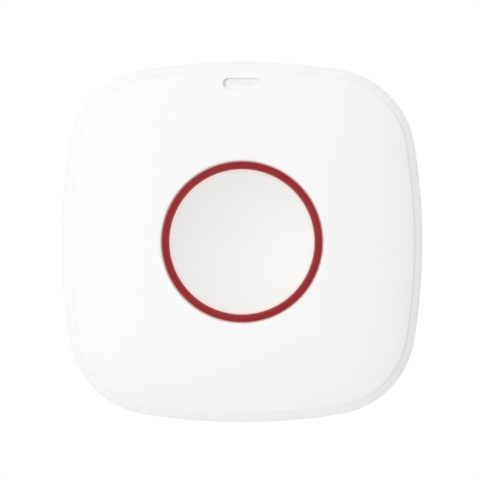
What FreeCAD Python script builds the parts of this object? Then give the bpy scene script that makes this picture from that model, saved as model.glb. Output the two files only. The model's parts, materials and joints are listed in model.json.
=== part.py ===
import FreeCAD, Part
import math
import os
import Sketcher

# A wall-hung wireless panic button. The wall is the plane y = 0 and the front looks along -Y.
# "Depth" is the distance from the wall towards the front, so a depth of 5 lies at y = -5.
# The origin is the middle of the bracket's back face; X is to the right and Z is up.

os.makedirs("parts", exist_ok=True)
doc = FreeCAD.newDocument("PanicButton")

DRIVING_SIZES = [
    # Outline of the housing: four shallow side arcs and four corner arcs, all tangent
    ("outline_half", 32.5),
    ("side_radius", 107.0),
    ("corner_radius", 16.0),
    # Rear housing
    ("rim_standoff", 0.4),
    ("back_draft", 0.7),
    ("back_edge_round", 1.0),
    ("shoulder_width", 1.45),
    ("shoulder_fall", 0.87),
    ("shoulder_round", 0.35),
    ("side_wall", 2.1),
    ("back_wall", 1.5),
    ("floor_wall", 1.4),
    ("tray_wall", 1.3),
    # Front cover
    ("seam_gap", 0.12),
    ("edge_step", 0.55),
    ("edge_bevel", 0.2),
    ("crown_rise", 3.1),
    ("cover_wall", 1.6),
    ("lip_depth", 1.5),
    ("lip_wall", 0.8),
    ("lip_fit", 0.1),
    ("hole_round", 0.65),
    # Button cap and the ring round it
    ("cap_share", 0.4024),
    ("cap_gap", 0.07),
    ("ring_band", 1.4),
    ("ring_fit", 0.02),
    ("ring_recess", 0.3),
    ("ring_round", 0.4),
    ("ring_reach", 2.4),
    ("ring_flange_wall", 0.8),
    ("ring_flange_width", 1.8),
    ("collar_wall", 1.2),
    ("collar_reach", 1.2),
    ("cap_recess", 0.1),
    ("dish_sag", 1.7),
    ("cap_rim_round", 0.4),
    ("cap_plate", 1.2),
    ("cap_skirt_wall", 1.15),
    ("cap_flange_wall", 0.7),
    ("cap_flange_width", 1.25),
    ("ear_width", 1.2),
    ("ear_span", 18.0),
    ("ear_play", 2.0),
    ("press_travel", 0.6),
    ("running_gap", 0.05),
    # Key switch
    ("switch_width", 6.0),
    ("switch_depth", 1.8),
    ("switch_plate", 0.2),
    ("switch_stem_radius", 1.7),
    ("switch_stem_out", 0.8),
    ("switch_stem_hidden", 0.9),
    ("terminal_width", 0.7),
    ("terminal_wall", 0.25),
    ("terminal_reach", 1.2),
    ("terminal_pitch", 4.5),
    ("pin_radius", 2.4),
    ("pin_length", 0.25),
    ("stake_radius", 0.4),
    ("stake_inset", 0.8),
    ("stake_rise", 0.1),
    ("cap_rib_wall", 0.9),
    ("cap_rib_depth", 0.8),
    ("cap_rib_clearance", 1.8),
    # Indicator
    ("indicator_clearance", 0.1),
    ("indicator_length", 6.75),
    ("indicator_width", 1.8),
    ("indicator_recess", 0.4),
    ("indicator_fit", 0.01),
    ("pipe_wall", 1.05),
    ("pipe_drop", 3.6),
    ("pipe_half_width", 3.4),
    ("pipe_mirror", 0.84),
    ("led_drop", 2.6),
    ("led_length", 2.0),
    ("led_width", 1.25),
    ("led_depth", 0.8),
    ("led_cup_radius", 0.42),
    ("led_cup_depth", 0.3),
    # Battery and its door
    ("cell_radius", 12.25),
    ("cell_depth", 5.0),
    ("cell_play", 0.25),
    ("cell_float", 0.2),
    ("cell_cap_radius", 10.8),
    ("cell_cap_rise", 0.25),
    ("cell_round", 0.5),
    ("well_wall", 1.8),
    ("door_land", 0.8),
    ("door_fit", 0.1),
    ("lug_reach", 1.1),
    ("lug_wall", 0.85),
    ("lug_span", 24.0),
    ("lug_play", 2.0),
    ("door_turn", 45.0),
    ("coin_slot_length", 15.0),
    ("coin_slot_width", 1.8),
    ("coin_slot_depth", 0.8),
    ("contact_room", 0.7),
    ("contact_width", 5.0),
    ("contact_wall", 0.3),
    ("leaf_wall", 0.2),
    ("leaf_flat", 1.5),
    ("leaf_bend", 6.0),
    ("leaf_end", 9.0),
    # Circuit board
    ("board_thickness", 1.0),
    ("board_margin", 5.2),
    ("board_hole_play", 0.4),
    ("board_post_radius", 2.2),
    ("board_post_side_inset", 3.8),
    ("board_post_low_inset", 2.8),
    ("board_screw_radius", 0.95),
    ("board_screw_head", 1.9),
    ("board_screw_length", 5.0),
    # Screws that close the housing
    ("screw_side_inset", 13.2),
    ("screw_top_inset", 13.4),
    ("screw_low_side_inset", 13.9),
    ("screw_low_inset", 9.9),
    ("screw_radius", 1.1),
    ("screw_head_radius", 2.05),
    ("screw_head_depth", 1.3),
    ("screw_length", 8.4),
    ("screw_sink", 0.1),
    ("thread_room", 0.04),
    ("pilot_spare", 0.55),
    ("boss_radius", 2.6),
    ("post_radius", 2.9),
    ("boss_depth", 7.0),
    ("drive_radius", 0.9),
    ("drive_half_slot", 0.225),
    ("drive_sink", 0.7),
    ("shank_root", 0.2),
    # Ribs inside the two shells
    ("rib_wall", 1.0),
    ("rib_rise", 0.5),
    ("rib_start", 0.35),
    ("rib_reach", 7.5),
    ("strut_height", 2.4),
    ("strut_root", 0.3),
    # Wall bracket and its hooks
    ("wall_hole_margin", 1.0),
    ("bracket_corner", 8.0),
    ("bracket_thickness", 2.0),
    ("bracket_bevel", 0.4),
    ("bracket_play", 0.4),
    ("door_clearance", 0.6),
    ("hook_inset", 3.5),
    ("hook_high", 4.0),
    ("hook_low", -13.0),
    ("hook_width", 5.0),
    ("hook_neck", 2.0),
    ("hook_overlap", 3.0),
    ("hook_tip", 1.2),
    ("hook_lead", 0.5),
    ("hook_play", 0.3),
    ("seat_gap", 0.1),
    ("lift_spare", 0.2),
    ("wall_hole_radius", 2.1),
    ("wall_hole_sink_radius", 4.0),
    ("wall_hole_height", 16.0),
    # Tamper switch and plunger
    ("tamper_clearance", 2.1),
    ("tamper_inset", 3.5),
    ("tamper_drop", 0.8),
    ("plunger_radius", 1.5),
    ("plunger_collar", 2.4),
    ("plunger_collar_wall", 0.8),
    ("plunger_play", 0.15),
    ("tamper_body_width", 6.0),
    ("tamper_body_depth", 3.3),
    ("tamper_stem_radius", 1.2),
    ("tamper_stem_out", 0.9),
    ("tamper_stem_hidden", 1.3),
    # Radio and other parts on the board
    ("shield_inset", 5.6),
    ("shield_clearance", 0.7),
    ("shield_width", 8.0),
    ("shield_depth", 1.6),
    ("shield_wall", 0.2),
    ("chip_width", 5.0),
    ("chip_depth", 0.85),
    ("crystal_inset", 6.8),
    ("crystal_height", -8.0),
    ("crystal_length", 3.2),
    ("crystal_width", 2.5),
    ("crystal_depth", 0.8),
    ("reservoir_inset", 7.0),
    ("reservoir_clearance", 2.25),
    ("reservoir_length", 7.3),
    ("reservoir_width", 4.3),
    ("reservoir_depth", 1.9),
    ("antenna_inset", 8.3),
    ("antenna_low", -12.5),
    ("antenna_high", 11.0),
    ("antenna_bend", 2.5),
    ("antenna_tail", 4.0),
    ("antenna_radius", 0.4),
    ("antenna_lift", 1.3),
    ("passive_side", 7.0),
    ("passive_row", 4.0),
    ("passive_length", 1.6),
    ("passive_width", 0.8),
    ("passive_depth", 0.45),
]

sheet = doc.addObject("Spreadsheet::Sheet", "Sizes")


class Size:
    """A length or angle that knows its value and the sheet formula it comes from."""

    def __init__(self, text, value):
        self.text = text
        self.value = value

    def __add__(self, other):
        return combine(self, other, "+", lambda a, b: a + b)

    def __radd__(self, other):
        return combine(other, self, "+", lambda a, b: a + b)

    def __sub__(self, other):
        return combine(self, other, "-", lambda a, b: a - b)

    def __rsub__(self, other):
        return combine(other, self, "-", lambda a, b: a - b)

    def __mul__(self, other):
        return combine(self, other, "*", lambda a, b: a * b)

    def __rmul__(self, other):
        return combine(other, self, "*", lambda a, b: a * b)

    def __truediv__(self, other):
        return combine(self, other, "/", lambda a, b: a / b)

    def __pow__(self, power):
        return combine(self, power, "^", lambda a, b: a ** b)

    def __neg__(self):
        return combine(0, self, "-", lambda a, b: a - b)


def as_size(number):
    return number if isinstance(number, Size) else Size(repr(float(number)), float(number))


def combine(left, right, sign, rule):
    left = as_size(left)
    right = as_size(right)
    return Size("(%s %s %s)" % (left.text, sign, right.text), rule(left.value, right.value))


def fill_sheet():
    cells = {}
    for row, (alias, value) in enumerate(DRIVING_SIZES, start=1):
        sheet.set("A%d" % row, alias)
        sheet.set("B%d" % row, str(value))
        sheet.setAlias("B%d" % row, alias)
        cells[alias] = Size("Sizes." + alias, float(value))
    doc.recompute()
    return type("Cells", (), cells)


s = fill_sheet()

# Depths of the stack, from the wall to the front
recess_floor = s.bracket_thickness + s.door_clearance
floor_inside = recess_floor + s.floor_wall
land_inside = s.rim_standoff + s.back_wall
cell_base = floor_inside + s.cell_float
cell_top = cell_base + s.cell_depth
board_back = cell_top + s.contact_room
board_front = board_back + s.board_thickness
switch_top = board_front + s.switch_depth + s.switch_plate
stem_top = switch_top + s.switch_stem_out

# Half widths and radii
edge_half = s.outline_half - s.shoulder_width - s.seam_gap
cavity_half = s.outline_half - s.side_wall
lip_outer = cavity_half - s.lip_fit
lip_inner = lip_outer - s.lip_wall
cap_radius = s.outline_half * s.cap_share
ring_inner = cap_radius + s.cap_gap
ring_outer = ring_inner + s.ring_band
hole_radius = ring_outer + s.ring_fit
ring_flange = ring_outer + s.ring_flange_width
collar_outer = ring_outer + s.running_gap + s.collar_wall
well_inner = s.cell_radius + s.cell_play
well_outer = well_inner + s.well_wall
door_radius = well_inner + s.door_land
door_hole = door_radius + s.door_fit
board_half = s.outline_half - s.board_margin
bracket_half = s.wall_hole_height + s.wall_hole_sink_radius + s.wall_hole_margin

# Places on the front, on the board and on the bracket
indicator_height = lip_inner - s.indicator_clearance - s.indicator_width / 2
pipe_foot = indicator_height - s.pipe_drop
led_height = indicator_height - s.led_drop
crystal_side = board_half - s.crystal_inset
antenna_side = s.antenna_inset - board_half
hook_side = bracket_half - s.hook_inset
screw_side = cavity_half - s.screw_side_inset
screw_low_side = cavity_half - s.screw_low_side_inset
shield_side = screw_low_side - s.boss_radius - s.shield_clearance - s.shield_width / 2
shield_height = s.shield_inset - board_half
reservoir_side = s.boss_radius + s.reservoir_clearance + s.reservoir_length / 2 - screw_low_side
reservoir_height = s.reservoir_inset - board_half
tamper_side = s.boss_radius + s.tamper_clearance + s.tamper_body_width / 2 - screw_side
tamper_height = bracket_half - s.tamper_inset


def crown_depth(share, base, rise):
    """Depth of the pillow face at a share of the way from its middle to its edge."""
    return base + rise * (1 - as_size(share) ** 4)


# Depths of the front, counted up from the switch through the cap to the cover's face
pin_tip = stem_top + s.running_gap
cap_underside = pin_tip + s.pin_length
cap_middle = cap_underside + s.cap_plate
cap_rim = cap_middle + s.dish_sag
face_at_ring = cap_rim + s.cap_recess
crown_base = face_at_ring - crown_depth(hole_radius / edge_half, 0, s.crown_rise)
parting_depth = crown_base - s.edge_step
shoulder_base = parting_depth - s.shoulder_fall
ring_front = face_at_ring - s.ring_recess
ring_seat = face_at_ring - s.ring_reach
ring_back = ring_seat - s.ring_flange_wall
cap_flange_front = ring_back - s.running_gap
cap_flange_back = cap_flange_front - s.cap_flange_wall
pipe_base = board_front + s.led_depth + s.running_gap
pipe_front = pipe_base + s.pipe_wall
lift_travel = s.hook_overlap + s.lift_spare
screw_head_low = recess_floor + s.screw_sink
screw_head_high = screw_head_low + s.screw_head_depth
screw_tip = screw_head_high + s.screw_length

HOUSING_SCREWS = [
    (-screw_side, cavity_half - s.screw_top_inset),
    (screw_side, cavity_half - s.screw_top_inset),
    (-screw_low_side, s.screw_low_inset - cavity_half),
    (screw_low_side, s.screw_low_inset - cavity_half),
]
BOARD_POSTS = [
    (s.board_post_side_inset - board_half, as_size(0)),
    (board_half - s.board_post_side_inset, as_size(0)),
    (as_size(0), s.board_post_low_inset - board_half),
]
HOOKS = [
    (-hook_side, s.hook_high),
    (hook_side, s.hook_high),
    (-hook_side, s.hook_low),
    (hook_side, s.hook_low),
]
TAMPER_PLACE = [(tamper_side, tamper_height)]
CROWN_INNER = 0.7
CROWN_STEPS = [0, 0.1, 0.2, 0.33, 0.5, 0.7, 1]
COVER_RIBS = 12
CAP_RIBS = 6
EARS = 3
LUGS = 3
SLACK = 0.01


# Bodies, sketches and features

def new_body(name, several=False):
    body = doc.addObject("PartDesign::Body", name)
    body.Label = name
    body.AllowCompound = several
    return body


def origin_part(body, role):
    return next(part for part in body.Origin.OriginFeatures if part.Role == role)


def new_sketch(body, name, role="XZ_Plane", offset=0, turn=0):
    """A sketch on one of the body's own planes, moved along its normal and turned about it."""
    offset = as_size(offset)
    turn = as_size(turn)
    sketch = body.newObject("Sketcher::SketchObject", name)
    sketch.AttachmentSupport = [(origin_part(body, role), "")]
    sketch.MapMode = "FlatFace"
    sketch.AttachmentOffset = FreeCAD.Placement(
        FreeCAD.Vector(0, 0, offset.value), FreeCAD.Rotation(FreeCAD.Vector(0, 0, 1), turn.value))
    sketch.setExpression("AttachmentOffset.Base.z", offset.text)
    if turn.value != 0:
        sketch.setExpression("AttachmentOffset.Rotation.Angle", turn.text)
    return sketch


def limit(sketch, *rule):
    return sketch.addConstraint(Sketcher.Constraint(*rule))


def bind(sketch, size, *rule):
    """A dimension of the sketch that follows a formula on the sheet."""
    index = sketch.addConstraint(Sketcher.Constraint(*rule, size.value))
    sketch.setExpression("Constraints[%d]" % index, size.text)


def place_point(sketch, item, end, across, up):
    bind(sketch, across, "DistanceX", -1, 1, item, end)
    bind(sketch, up, "DistanceY", -1, 1, item, end)


def draw_circle(sketch, across, up, radius):
    across, up, radius = as_size(across), as_size(up), as_size(radius)
    middle = FreeCAD.Vector(across.value, up.value, 0)
    circle = Part.Circle(middle, FreeCAD.Vector(0, 0, 1), radius.value)
    item = sketch.addGeometry(circle, False)
    place_point(sketch, item, 3, across, up)
    bind(sketch, radius, "Radius", item)


def arc_between(start, end, radius):
    """The short arc over a side; a positive radius bulges to the left of the way."""
    half = (end - start).Length / 2
    left = FreeCAD.Vector(start.y - end.y, end.x - start.x, 0).normalize()
    drop = math.sqrt(max(radius * radius - half * half, 0))
    middle = (start + end) * 0.5 - left * math.copysign(drop, radius)
    first, last = (end, start) if radius > 0 else (start, end)
    begin = math.atan2(first.y - middle.y, first.x - middle.x)
    finish = math.atan2(last.y - middle.y, last.x - middle.x)
    if finish < begin:
        finish += 2 * math.pi
    circle = Part.Circle(middle, FreeCAD.Vector(0, 0, 1), abs(radius))
    return Part.ArcOfCircle(circle, begin, finish)


def draw_loop(sketch, points, bulges=None):
    """A closed outline through points; bulges gives the radius of each side that is an arc."""
    bulges = bulges or {}
    points = [(as_size(across), as_size(up)) for across, up in points]
    corners = [FreeCAD.Vector(across.value, up.value, 0) for across, up in points]
    items = []
    ends = []
    for index, start in enumerate(corners):
        end = corners[(index + 1) % len(corners)]
        bulge = bulges.get(index)
        side = arc_between(start, end, bulge.value) if bulge else Part.LineSegment(start, end)
        items.append(sketch.addGeometry(side, False))
        ends.append((2, 1) if bulge and bulge.value > 0 else (1, 2))
    for index, item in enumerate(items):
        following = (index + 1) % len(items)
        limit(sketch, "Coincident", item, ends[index][1], items[following], ends[following][0])
        place_point(sketch, item, ends[index][0], *points[index])
        if index in bulges:
            bulge = bulges[index]
            bind(sketch, bulge if bulge.value > 0 else -bulge, "Radius", item)


def draw_box(sketch, across, up, width, height):
    across, up, width, height = as_size(across), as_size(up), as_size(width), as_size(height)
    left, right = across - width / 2, across + width / 2
    low, high = up - height / 2, up + height / 2
    draw_loop(sketch, [(left, low), (right, low), (right, high), (left, high)])


def length_of(run, rise):
    return Size("sqrt(%s ^ 2 + %s ^ 2)" % (run.text, rise.text), math.hypot(run.value, rise.value))


def draw_strut(sketch, start, end, wall):
    """A straight bar between two points."""
    run, rise = end[0] - start[0], end[1] - start[1]
    length = length_of(run, rise)
    across, up = rise / length * wall / 2, run / length * wall / 2
    draw_loop(sketch, [
        (start[0] + across, start[1] - up), (end[0] + across, end[1] - up),
        (end[0] - across, end[1] + up), (start[0] - across, start[1] + up),
    ])


def draw_rounded_box(sketch, left, right, low, high, radius):
    """A rectangle with tangent corner arcs."""
    inner = [
        (right - radius, low + radius, -math.pi / 2),
        (right - radius, high - radius, 0),
        (left + radius, high - radius, math.pi / 2),
        (left + radius, low + radius, math.pi),
    ]
    normal = FreeCAD.Vector(0, 0, 1)
    arcs = []
    for across, up, start in inner:
        middle = FreeCAD.Vector(across.value, up.value, 0)
        circle = Part.Circle(middle, normal, radius.value)
        arcs.append(sketch.addGeometry(Part.ArcOfCircle(circle, start, start + math.pi / 2), False))
    for index, arc in enumerate(arcs):
        following = arcs[(index + 1) % 4]
        begin = sketch.Geometry[arc].EndPoint
        end = sketch.Geometry[following].StartPoint
        side = sketch.addGeometry(Part.LineSegment(begin, end), False)
        limit(sketch, "Tangent", arc, 2, side, 1)
        limit(sketch, "Tangent", side, 2, following, 1)
        place_point(sketch, arc, 3, inner[index][0], inner[index][1])
    bind(sketch, radius, "Radius", arcs[0])


def draw_pill(sketch, across, up, length, width):
    """A slot with round ends, lying along the sketch's first axis."""
    across, up = as_size(across), as_size(up)
    radius = width / 2
    reach = length / 2 - radius
    normal = FreeCAD.Vector(0, 0, 1)
    arcs = []
    for side, start in ((1, -math.pi / 2), (-1, math.pi / 2)):
        middle = FreeCAD.Vector((across + reach * side).value, up.value, 0)
        circle = Part.Circle(middle, normal, radius.value)
        arcs.append(sketch.addGeometry(Part.ArcOfCircle(circle, start, start + math.pi), False))
        place_point(sketch, arcs[-1], 3, across + reach * side, up)
    for first, second in ((arcs[0], arcs[1]), (arcs[1], arcs[0])):
        begin = sketch.Geometry[first].EndPoint
        end = sketch.Geometry[second].StartPoint
        side = sketch.addGeometry(Part.LineSegment(begin, end), False)
        limit(sketch, "Tangent", first, 2, side, 1)
        limit(sketch, "Tangent", side, 2, second, 1)
    bind(sketch, radius, "Radius", arcs[0])


def draw_sector(sketch, inner, outer, span):
    """A piece of a ring, centred on the sketch's first axis."""
    inner, outer, span = as_size(inner), as_size(outer), as_size(span)
    half = math.radians(span.value / 2)
    middle = FreeCAD.Vector(0, 0, 0)
    normal = FreeCAD.Vector(0, 0, 1)
    arcs = []
    for radius in (inner, outer):
        circle = Part.Circle(middle, normal, radius.value)
        arcs.append(sketch.addGeometry(Part.ArcOfCircle(circle, -half, half), False))
        limit(sketch, "Coincident", arcs[-1], 3, -1, 1)
        limit(sketch, "Symmetric", arcs[-1], 1, arcs[-1], 2, -1)
        bind(sketch, radius, "Radius", arcs[-1])
    for end in (1, 2):
        angle = half if end == 2 else -half
        way = FreeCAD.Vector(math.cos(angle), math.sin(angle), 0)
        ray = sketch.addGeometry(Part.LineSegment(way * inner.value, way * outer.value), False)
        limit(sketch, "Coincident", ray, 1, arcs[0], end)
        limit(sketch, "Coincident", ray, 2, arcs[1], end)
    half_chord = Size("(%s * sin(%s / 2 * 1deg))" % (inner.text, span.text), inner.value * math.sin(half))
    bind(sketch, half_chord, "DistanceY", -1, 1, arcs[0], 2)
    half_chord = Size("(%s * sin(%s / 2 * 1deg))" % (outer.text, span.text), outer.value * math.sin(half))
    bind(sketch, half_chord, "DistanceY", -1, 1, arcs[1], 2)


def draw_housing_outline(sketch, inset=0, share=1):
    """The soft square of the housing, set in by an amount and then scaled about its middle."""
    half = (s.outline_half - inset) * share
    side_radius = (s.side_radius - inset) * share
    corner_radius = (s.corner_radius - inset) * share
    side, corner = side_radius.value, corner_radius.value
    shift = half.value - side
    centre = (shift + math.sqrt(2 * (side - corner) ** 2 - shift * shift)) / 2
    reach = math.pi / 2 - math.atan2(centre - shift, centre)
    normal = FreeCAD.Vector(0, 0, 1)
    arcs = []
    for quarter in range(4):
        turn = quarter * math.pi / 2
        across = FreeCAD.Vector(math.cos(turn), math.sin(turn), 0)
        up = FreeCAD.Vector(-math.sin(turn), math.cos(turn), 0)
        side_circle = Part.Circle(across * shift, normal, side)
        corner_circle = Part.Circle((across + up) * centre, normal, corner)
        end = turn + math.pi / 2 - reach
        arcs.append(sketch.addGeometry(Part.ArcOfCircle(side_circle, turn - reach, turn + reach), False))
        arcs.append(sketch.addGeometry(Part.ArcOfCircle(corner_circle, turn + reach, end), False))
    for index, arc in enumerate(arcs):
        limit(sketch, "Tangent", arc, 2, arcs[(index + 1) % 8], 1)
    for index in range(2, 8):
        limit(sketch, "Equal", arcs[index % 2], arcs[index])
    bind(sketch, side_radius, "Radius", arcs[0])
    bind(sketch, corner_radius, "Radius", arcs[1])
    offset = side_radius - half
    for arc, axis, rule, first in (
            (arcs[0], -1, "DistanceX", False), (arcs[2], -2, "DistanceY", False),
            (arcs[4], -1, "DistanceX", True), (arcs[6], -2, "DistanceY", True)):
        limit(sketch, "PointOnObject", arc, 3, axis)
        ends = (-1, 1, arc, 3) if first else (arc, 3, -1, 1)
        bind(sketch, offset, rule, *ends)


def add(body, name, low, high, draw, turn=0):
    """A pad from one depth to another."""
    low, high = as_size(low), as_size(high)
    sketch = new_sketch(body, name + "Sketch", offset=low, turn=turn)
    draw(sketch)
    pad = body.newObject("PartDesign::Pad", name)
    pad.Profile = sketch
    pad.Length = (high - low).value
    pad.setExpression("Length", (high - low).text)
    body.Tip = pad
    return pad


def cut(body, name, low, high, draw, turn=0):
    """A pocket between two depths."""
    low, high = as_size(low), as_size(high)
    sketch = new_sketch(body, name + "Sketch", offset=high, turn=turn)
    draw(sketch)
    pocket = body.newObject("PartDesign::Pocket", name)
    pocket.Profile = sketch
    pocket.Length = (high - low).value
    pocket.setExpression("Length", (high - low).text)
    body.Tip = pocket
    return pocket


def across_feature(body, kind, name, role, middle, width, draw):
    """A pad or pocket drawn on a side plane and spread evenly about the middle."""
    width = as_size(width)
    sketch = new_sketch(body, name + "Sketch", role, middle)
    draw(sketch)
    feature = body.newObject("PartDesign::" + kind, name)
    feature.Profile = sketch
    feature.Midplane = True
    feature.Length = width.value
    feature.setExpression("Length", width.text)
    body.Tip = feature
    return feature


def revolve(body, kind, name, points, bulges=None):
    """A profile of (radius, depth) points turned about the body's own Y axis."""
    sketch = new_sketch(body, name + "Sketch", "XY_Plane")
    draw_loop(sketch, [(radius, -as_size(depth)) for radius, depth in points], bulges)
    feature = body.newObject("PartDesign::" + kind, name)
    feature.Profile = sketch
    feature.ReferenceAxis = (origin_part(body, "Y_Axis"), [""])
    feature.Angle = 360
    body.Tip = feature
    return feature


def repeat_round(body, name, feature, count):
    pattern = body.newObject("PartDesign::PolarPattern", name)
    pattern.Originals = [feature]
    pattern.Axis = (origin_part(body, "Y_Axis"), [""])
    pattern.Angle = 360
    pattern.Occurrences = count
    body.Tip = pattern
    return pattern


def loft(body, kind, name, sections, ruled):
    """A loft through sections given as (depth, inset, share)."""
    sketches = []
    for index, (depth, inset, share) in enumerate(sections):
        sketch = new_sketch(body, "%sSection%d" % (name, index), offset=depth)
        draw_housing_outline(sketch, inset, share)
        sketches.append(sketch)
    feature = body.newObject("PartDesign::" + kind, name)
    feature.Profile = sketches[0]
    feature.Sections = sketches[1:]
    feature.Ruled = ruled
    body.Tip = feature
    return feature


def dress_edges(body, kind, name, size, chosen):
    """A fillet or chamfer on the edges of the finished shape that the test picks out."""
    doc.recompute()
    base = body.Tip
    names = ["Edge%d" % index for index, edge in enumerate(base.Shape.Edges, start=1) if chosen(edge)]
    if not names:
        raise RuntimeError("no edge for %s on %s" % (name, body.Label))
    feature = body.newObject("PartDesign::" + kind, name)
    feature.Base = (base, names)
    width = "Radius" if kind == "Fillet" else "Size"
    setattr(feature, width, size.value)
    feature.setExpression(width, size.text)
    body.Tip = feature
    return feature


def edge_within(edge, low, high, inner, outer):
    """True if the whole edge lies between two depths and between two distances from the axis."""
    start, end = edge.ParameterRange
    for share in (0, 0.25, 0.5, 0.75, 1):
        point = edge.valueAt(start + (end - start) * share)
        distance = math.hypot(point.x, point.z)
        if not low <= -point.y <= high or not inner <= distance <= outer:
            return False
    return True


def level_edges(depth, outer=math.inf):
    """A test for the edges at one depth that reach no further from the axis than outer."""
    return lambda edge: edge_within(edge, depth.value - SLACK, depth.value + SLACK, 0, outer)


def crown_sections(inset, base, rise):
    """Sections from the rim inwards, the last of them well inside the ring hole."""
    inner_share = hole_radius / edge_half * CROWN_INNER
    sections = []
    for step in CROWN_STEPS:
        share = 1 - (1 - inner_share) * step
        sections.append((crown_depth(share, base, rise), inset, share))
    return sections


def ring_of(inset_outer, inset_inner):
    def draw(sketch):
        draw_housing_outline(sketch, inset_outer)
        draw_housing_outline(sketch, inset_inner)
    return draw


def circles(places, radius):
    def draw(sketch):
        for across, up in places:
            draw_circle(sketch, across, up, radius)
    return draw


def annulus(inner, outer):
    def draw(sketch):
        draw_circle(sketch, 0, 0, inner)
        draw_circle(sketch, 0, 0, outer)
    return draw


# The pieces

def front_cover():
    body = new_body("front_cover")
    edge_inset = s.outline_half - edge_half
    bevel_base = crown_base - s.edge_bevel
    crown_inset = edge_inset + s.edge_bevel
    add(body, "Edge", parting_depth, bevel_base, lambda k: draw_housing_outline(k, edge_inset))
    loft(body, "AdditiveLoft", "EdgeBevel",
         [(bevel_base, edge_inset, 1), (crown_base, crown_inset, 1)], True)
    loft(body, "AdditiveLoft", "Crown", crown_sections(crown_inset, crown_base, s.crown_rise), False)
    cavity_inset = s.outline_half - lip_inner
    hollow_base = parting_depth - s.lip_fit
    hollow_rise = crown_base + s.crown_rise - s.cover_wall - hollow_base
    loft(body, "SubtractiveLoft", "Hollow", crown_sections(cavity_inset, hollow_base, hollow_rise), False)
    lip_inset = s.outline_half - lip_outer
    add(body, "Lip", parting_depth - s.lip_depth, parting_depth + s.lip_fit,
        ring_of(lip_inset, cavity_inset))
    hollow_top = hollow_base + hollow_rise
    seat_radius = ring_flange + s.ring_fit
    add(body, "RingSeat", ring_seat, hollow_top + s.ring_fit, lambda k: draw_circle(k, 0, 0, seat_radius))
    rib_start = seat_radius + s.rib_start
    rib = add(body, "Rib", hollow_base + s.rib_rise, hollow_top - s.lip_fit, lambda k: draw_box(
        k, rib_start + s.rib_reach / 2, 0, s.rib_reach, s.rib_wall))
    repeat_round(body, "Ribs", rib, COVER_RIBS)
    add(body, "Bosses", s.boss_depth, hollow_top - s.lip_fit, circles(HOUSING_SCREWS, s.boss_radius))
    cut(body, "Pilots", s.boss_depth, screw_tip + s.pilot_spare,
        circles(HOUSING_SCREWS, s.screw_radius + s.thread_room))
    front = crown_base + s.crown_rise
    cut(body, "RingHole", s.boss_depth, front, lambda k: draw_circle(k, 0, 0, hole_radius))
    dress_edges(body, "Fillet", "RingHoleRound", s.hole_round, lambda edge: edge_within(
        edge, ring_front.value, front.value, hole_radius.value - SLACK, hole_radius.value + SLACK))
    cut(body, "IndicatorSlot", s.boss_depth, front,
        lambda k: draw_pill(k, 0, indicator_height, s.indicator_length, s.indicator_width))
    return body


def accent_ring():
    body = new_body("accent_ring")
    rounding = s.ring_round
    revolve(body, "Revolution", "Ring", [
        (ring_inner, ring_back),
        (ring_flange, ring_back),
        (ring_flange, ring_seat),
        (ring_outer, ring_seat),
        (ring_outer, ring_front - rounding),
        (ring_outer - rounding, ring_front),
        (ring_inner + rounding, ring_front),
        (ring_inner, ring_front - rounding),
    ], {4: rounding, 6: rounding})
    collar_inner = collar_outer - s.collar_wall
    collar_back = ring_back - s.collar_reach
    add(body, "Collar", collar_back, ring_back, annulus(collar_inner, collar_outer))
    notch = cut(body, "EarNotch", collar_back, ring_back, lambda k: draw_sector(
        k, collar_inner - s.collar_wall / 2, collar_outer + s.collar_wall / 2, s.ear_span + s.ear_play * 2))
    repeat_round(body, "EarNotches", notch, EARS)
    return body


def bowl_radius(reach, sag):
    """Radius of the arc that drops by sag over a reach from its axis."""
    return (reach * reach + sag * sag) / (2 * sag)


def button_cap():
    body = new_body("button_cap")
    rim_inner = cap_radius - s.cap_rim_round
    skirt_inner = cap_radius - s.cap_skirt_wall
    dish_radius = bowl_radius(rim_inner, s.dish_sag)
    under_sag = s.dish_sag * (skirt_inner / rim_inner) ** 2
    under_radius = bowl_radius(skirt_inner, under_sag)
    flange = cap_radius + s.cap_flange_width
    revolve(body, "Revolution", "Cap", [
        (0, cap_underside),
        (0, cap_middle),
        (rim_inner, cap_rim),
        (cap_radius, cap_rim - s.cap_rim_round),
        (cap_radius, cap_flange_front),
        (flange, cap_flange_front),
        (flange, cap_flange_back),
        (skirt_inner, cap_flange_back),
        (skirt_inner, cap_underside + under_sag),
    ], {1: dish_radius, 2: -s.cap_rim_round, 8: -under_radius})
    add(body, "Pin", pin_tip, cap_underside + s.cap_plate / 2,
        lambda k: draw_circle(k, 0, 0, s.pin_radius))
    rib_inner = s.switch_width / 2 + s.cap_rib_clearance
    rib_outer = skirt_inner + s.cap_skirt_wall / 2
    root = cap_underside + s.cap_plate / 2
    rib = across_feature(body, "Pad", "Rib", "XY_Plane", 0, s.cap_rib_wall, lambda k: draw_loop(k, [
        (rib_inner, s.cap_rib_depth - cap_underside),
        (rib_inner, -root),
        (rib_outer, -(root + under_sag)),
        (rib_outer, s.cap_rib_depth - cap_underside),
    ]))
    repeat_round(body, "Ribs", rib, CAP_RIBS)
    ear = add(body, "Ear", cap_flange_back, cap_flange_front, lambda k: draw_sector(
        k, flange - s.ear_width / 4, flange + s.ear_width, s.ear_span))
    repeat_round(body, "Ears", ear, EARS)
    return body


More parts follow.
